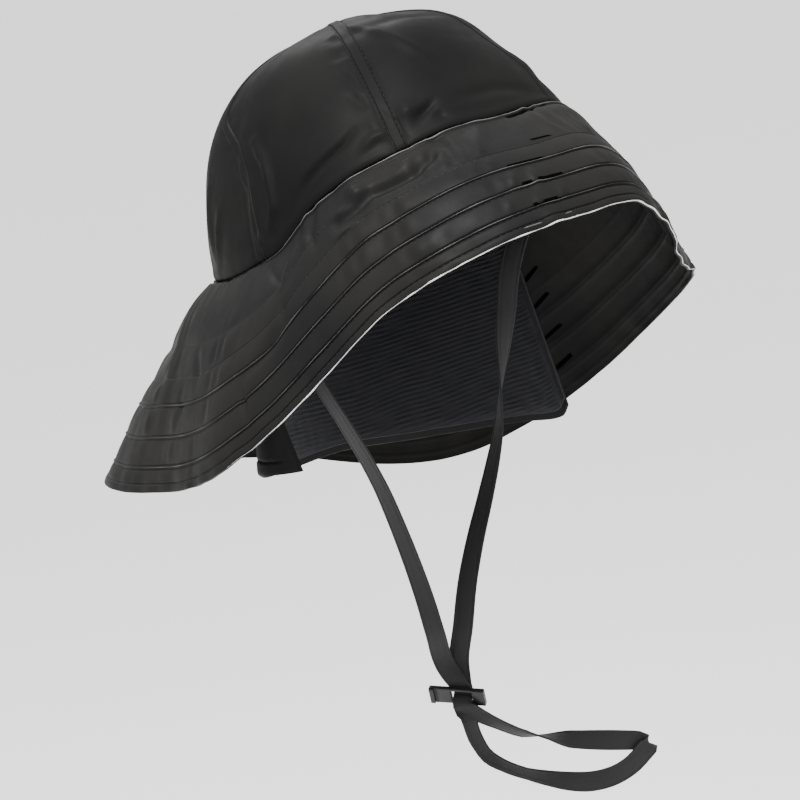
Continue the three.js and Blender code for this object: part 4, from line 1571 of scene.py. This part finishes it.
@dataclass
class Studio:
    """A pale floor, soft lights, and a camera at the photograph's angle."""

    camera_place: tuple[float, float, float] = (-0.7595, -1.1516, 0.2566)
    heading: float = 32.97
    elevation: float = -14.387
    roll: float = -6.75
    focal_pixels: float = 2969.6
    image_side: float = 800.0
    sensor: float = 36.0
    floor_level: float = -1.3
    air: tuple[float, float] = (0.45, 2.0)

    def camera(self) -> None:
        """Adds the camera."""
        data = bpy.data.cameras.new("camera")
        data.sensor_width = self.sensor
        data.lens = self.focal_pixels / self.image_side * self.sensor
        data.clip_start, data.clip_end = 0.05, 100.0
        heading, rise, roll = (math.radians(x) for x in (self.heading, self.elevation, self.roll))
        ahead = Vector((math.sin(heading) * math.cos(rise), math.cos(heading) * math.cos(rise),
                        math.sin(rise)))
        level = Vector((math.cos(heading), -math.sin(heading), 0))
        upward = level.cross(ahead)
        right = level * math.cos(roll) + upward * math.sin(roll)
        top = -level * math.sin(roll) + upward * math.cos(roll)
        camera = bpy.data.objects.new("camera", data)
        camera.matrix_world = Matrix.Translation(self.camera_place) @ Matrix(
            (right, top, -ahead)).transposed().to_4x4()
        bpy.context.collection.objects.link(camera)
        bpy.context.scene.camera = camera

    def floor(self) -> None:
        """Adds the floor."""
        bpy.ops.object.select_all(action="DESELECT")
        bpy.ops.mesh.primitive_plane_add(size=36, location=(0, 0, self.floor_level))
        floor = bpy.context.object
        floor.name = "studio_floor"
        floor.data.materials.append(PlainFinish(
            "pale_floor", (0.93, 0.93, 0.93), (0.95, 0.95, 0.95), 0.9, 5.0, 0.0).material())

    def build(self) -> None:
        """Adds everything round the hat."""
        self.camera()
        self.floor()
        for light in SOFT_LIGHTS:
            light.add()
        world = bpy.data.worlds.new("studio_air")
        world.use_nodes = True
        paper = NodePaper(world.node_tree)
        parts = paper.node("ShaderNodeSeparateXYZ")
        paper.link(paper.node("ShaderNodeTexCoord").outputs["Generated"], parts.inputs[0])
        rise = paper.node("ShaderNodeMapRange", inputs={
            "From Min": 0.0, "From Max": 0.8, "To Min": self.air[0], "To Max": self.air[1]})
        paper.link(parts.outputs["Z"], rise.inputs["Value"])
        paper.link(rise.outputs["Result"], world.node_tree.nodes["Background"].inputs["Strength"])
        world.node_tree.nodes["Background"].inputs["Color"].default_value = (1, 1, 1, 1)
        bpy.context.scene.world = world


def dress(piece: bpy.types.Object, material: bpy.types.Material) -> None:
    """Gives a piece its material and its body."""
    piece.data.materials.clear()
    piece.data.materials.append(material)
    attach(piece, "root")
    log.info("%s: %d faces", piece.name, len(piece.data.polygons))


def wall_area(piece: bpy.types.Object) -> float:
    """Area of one face of a wall of cloth, in square metres."""
    return sum(face.area for face in piece.data.polygons) / 2


def declare_sheet(piece: bpy.types.Object, flat: tuple[float, float]) -> None:
    """Works out what share of its cut size a piece of cloth covers; the share is not kept."""
    share = min(1.0, wall_area(piece) / (flat[0] * flat[1]))


def main() -> None:
    """Builds the hat, piece by piece, and reports each."""
    logging.basicConfig(level=logging.INFO)
    form = HatForm()
    Studio().build()
    slider = StrapSlider()
    slider_piece = slider.build()
    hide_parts("strap_slider")
    dress(slider_piece, PLASTIC.material())

    strap = ChinStrap(slider)
    tape, path = strap.build()
    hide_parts("chin_strap")
    dress(tape, TAPE.material())
    length = float(np.sum(np.linalg.norm(np.diff(path, axis=0), axis=1))) * MM
    log.info("strap length %.3f m", length)
    [tuple(point) for point in path * MM]

    crown = Crown(form)
    crown_piece = crown.build()
    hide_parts(*(f"crown_gore_{name}" for name in GORES))
    dress(crown_piece, CROWN_CLOTH.material())

    brim = Brim(form)
    brim_piece = brim.build()
    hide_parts("brim")
    dress(brim_piece, BRIM_CLOTH.material())
    dress(brim.build_edge(), CUT_EDGE.material())
    # The seam lip and the ridges carry the painted highlight finish.
    highlight_finish = PAINTED_HIGHLIGHT.material()
    for bead in (brim.build_welt(), *brim.build_ridges()):
        dress(bead, highlight_finish)

    flap = EarFlap(form)
    shell = flap.shell()
    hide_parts("ear_flap_shell")
    dress(shell, FLAP_CLOTH.material())
    lining = flap.lining()
    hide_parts("ear_flap_lining")
    dress(lining, KNIT.material())

    stitcher = Stitcher()
    crown.sew(stitcher)
    dress(stitcher.finish("crown_stitches", form), THREAD.material())
    stitcher = Stitcher()
    brim.sew(stitcher)
    dress(stitcher.finish("brim_stitches", form), THREAD.material())
    # Backtacks and inner bars take the near-black painted shadow finish, and the frayed bars take the painted
    # highlight finish.
    for name, finish, frayed in (("brim_backtacks_and_painted_shadow", BACKTACK_THREAD_AND_SHADE, False), ("brim_frayed_bars", PAINTED_HIGHLIGHT, True)):
        stitcher = Stitcher()
        brim.tack(stitcher, frayed)
        dress(stitcher.finish(name, form), finish.material())

    declare_sheet(crown_piece, (0.36, 0.36))
    declare_sheet(brim_piece, (0.46, 0.46))
    declare_sheet(shell, (0.25, 0.12))
    declare_sheet(lining, (0.24, 0.12))


if __name__ == "__main__":
    main()
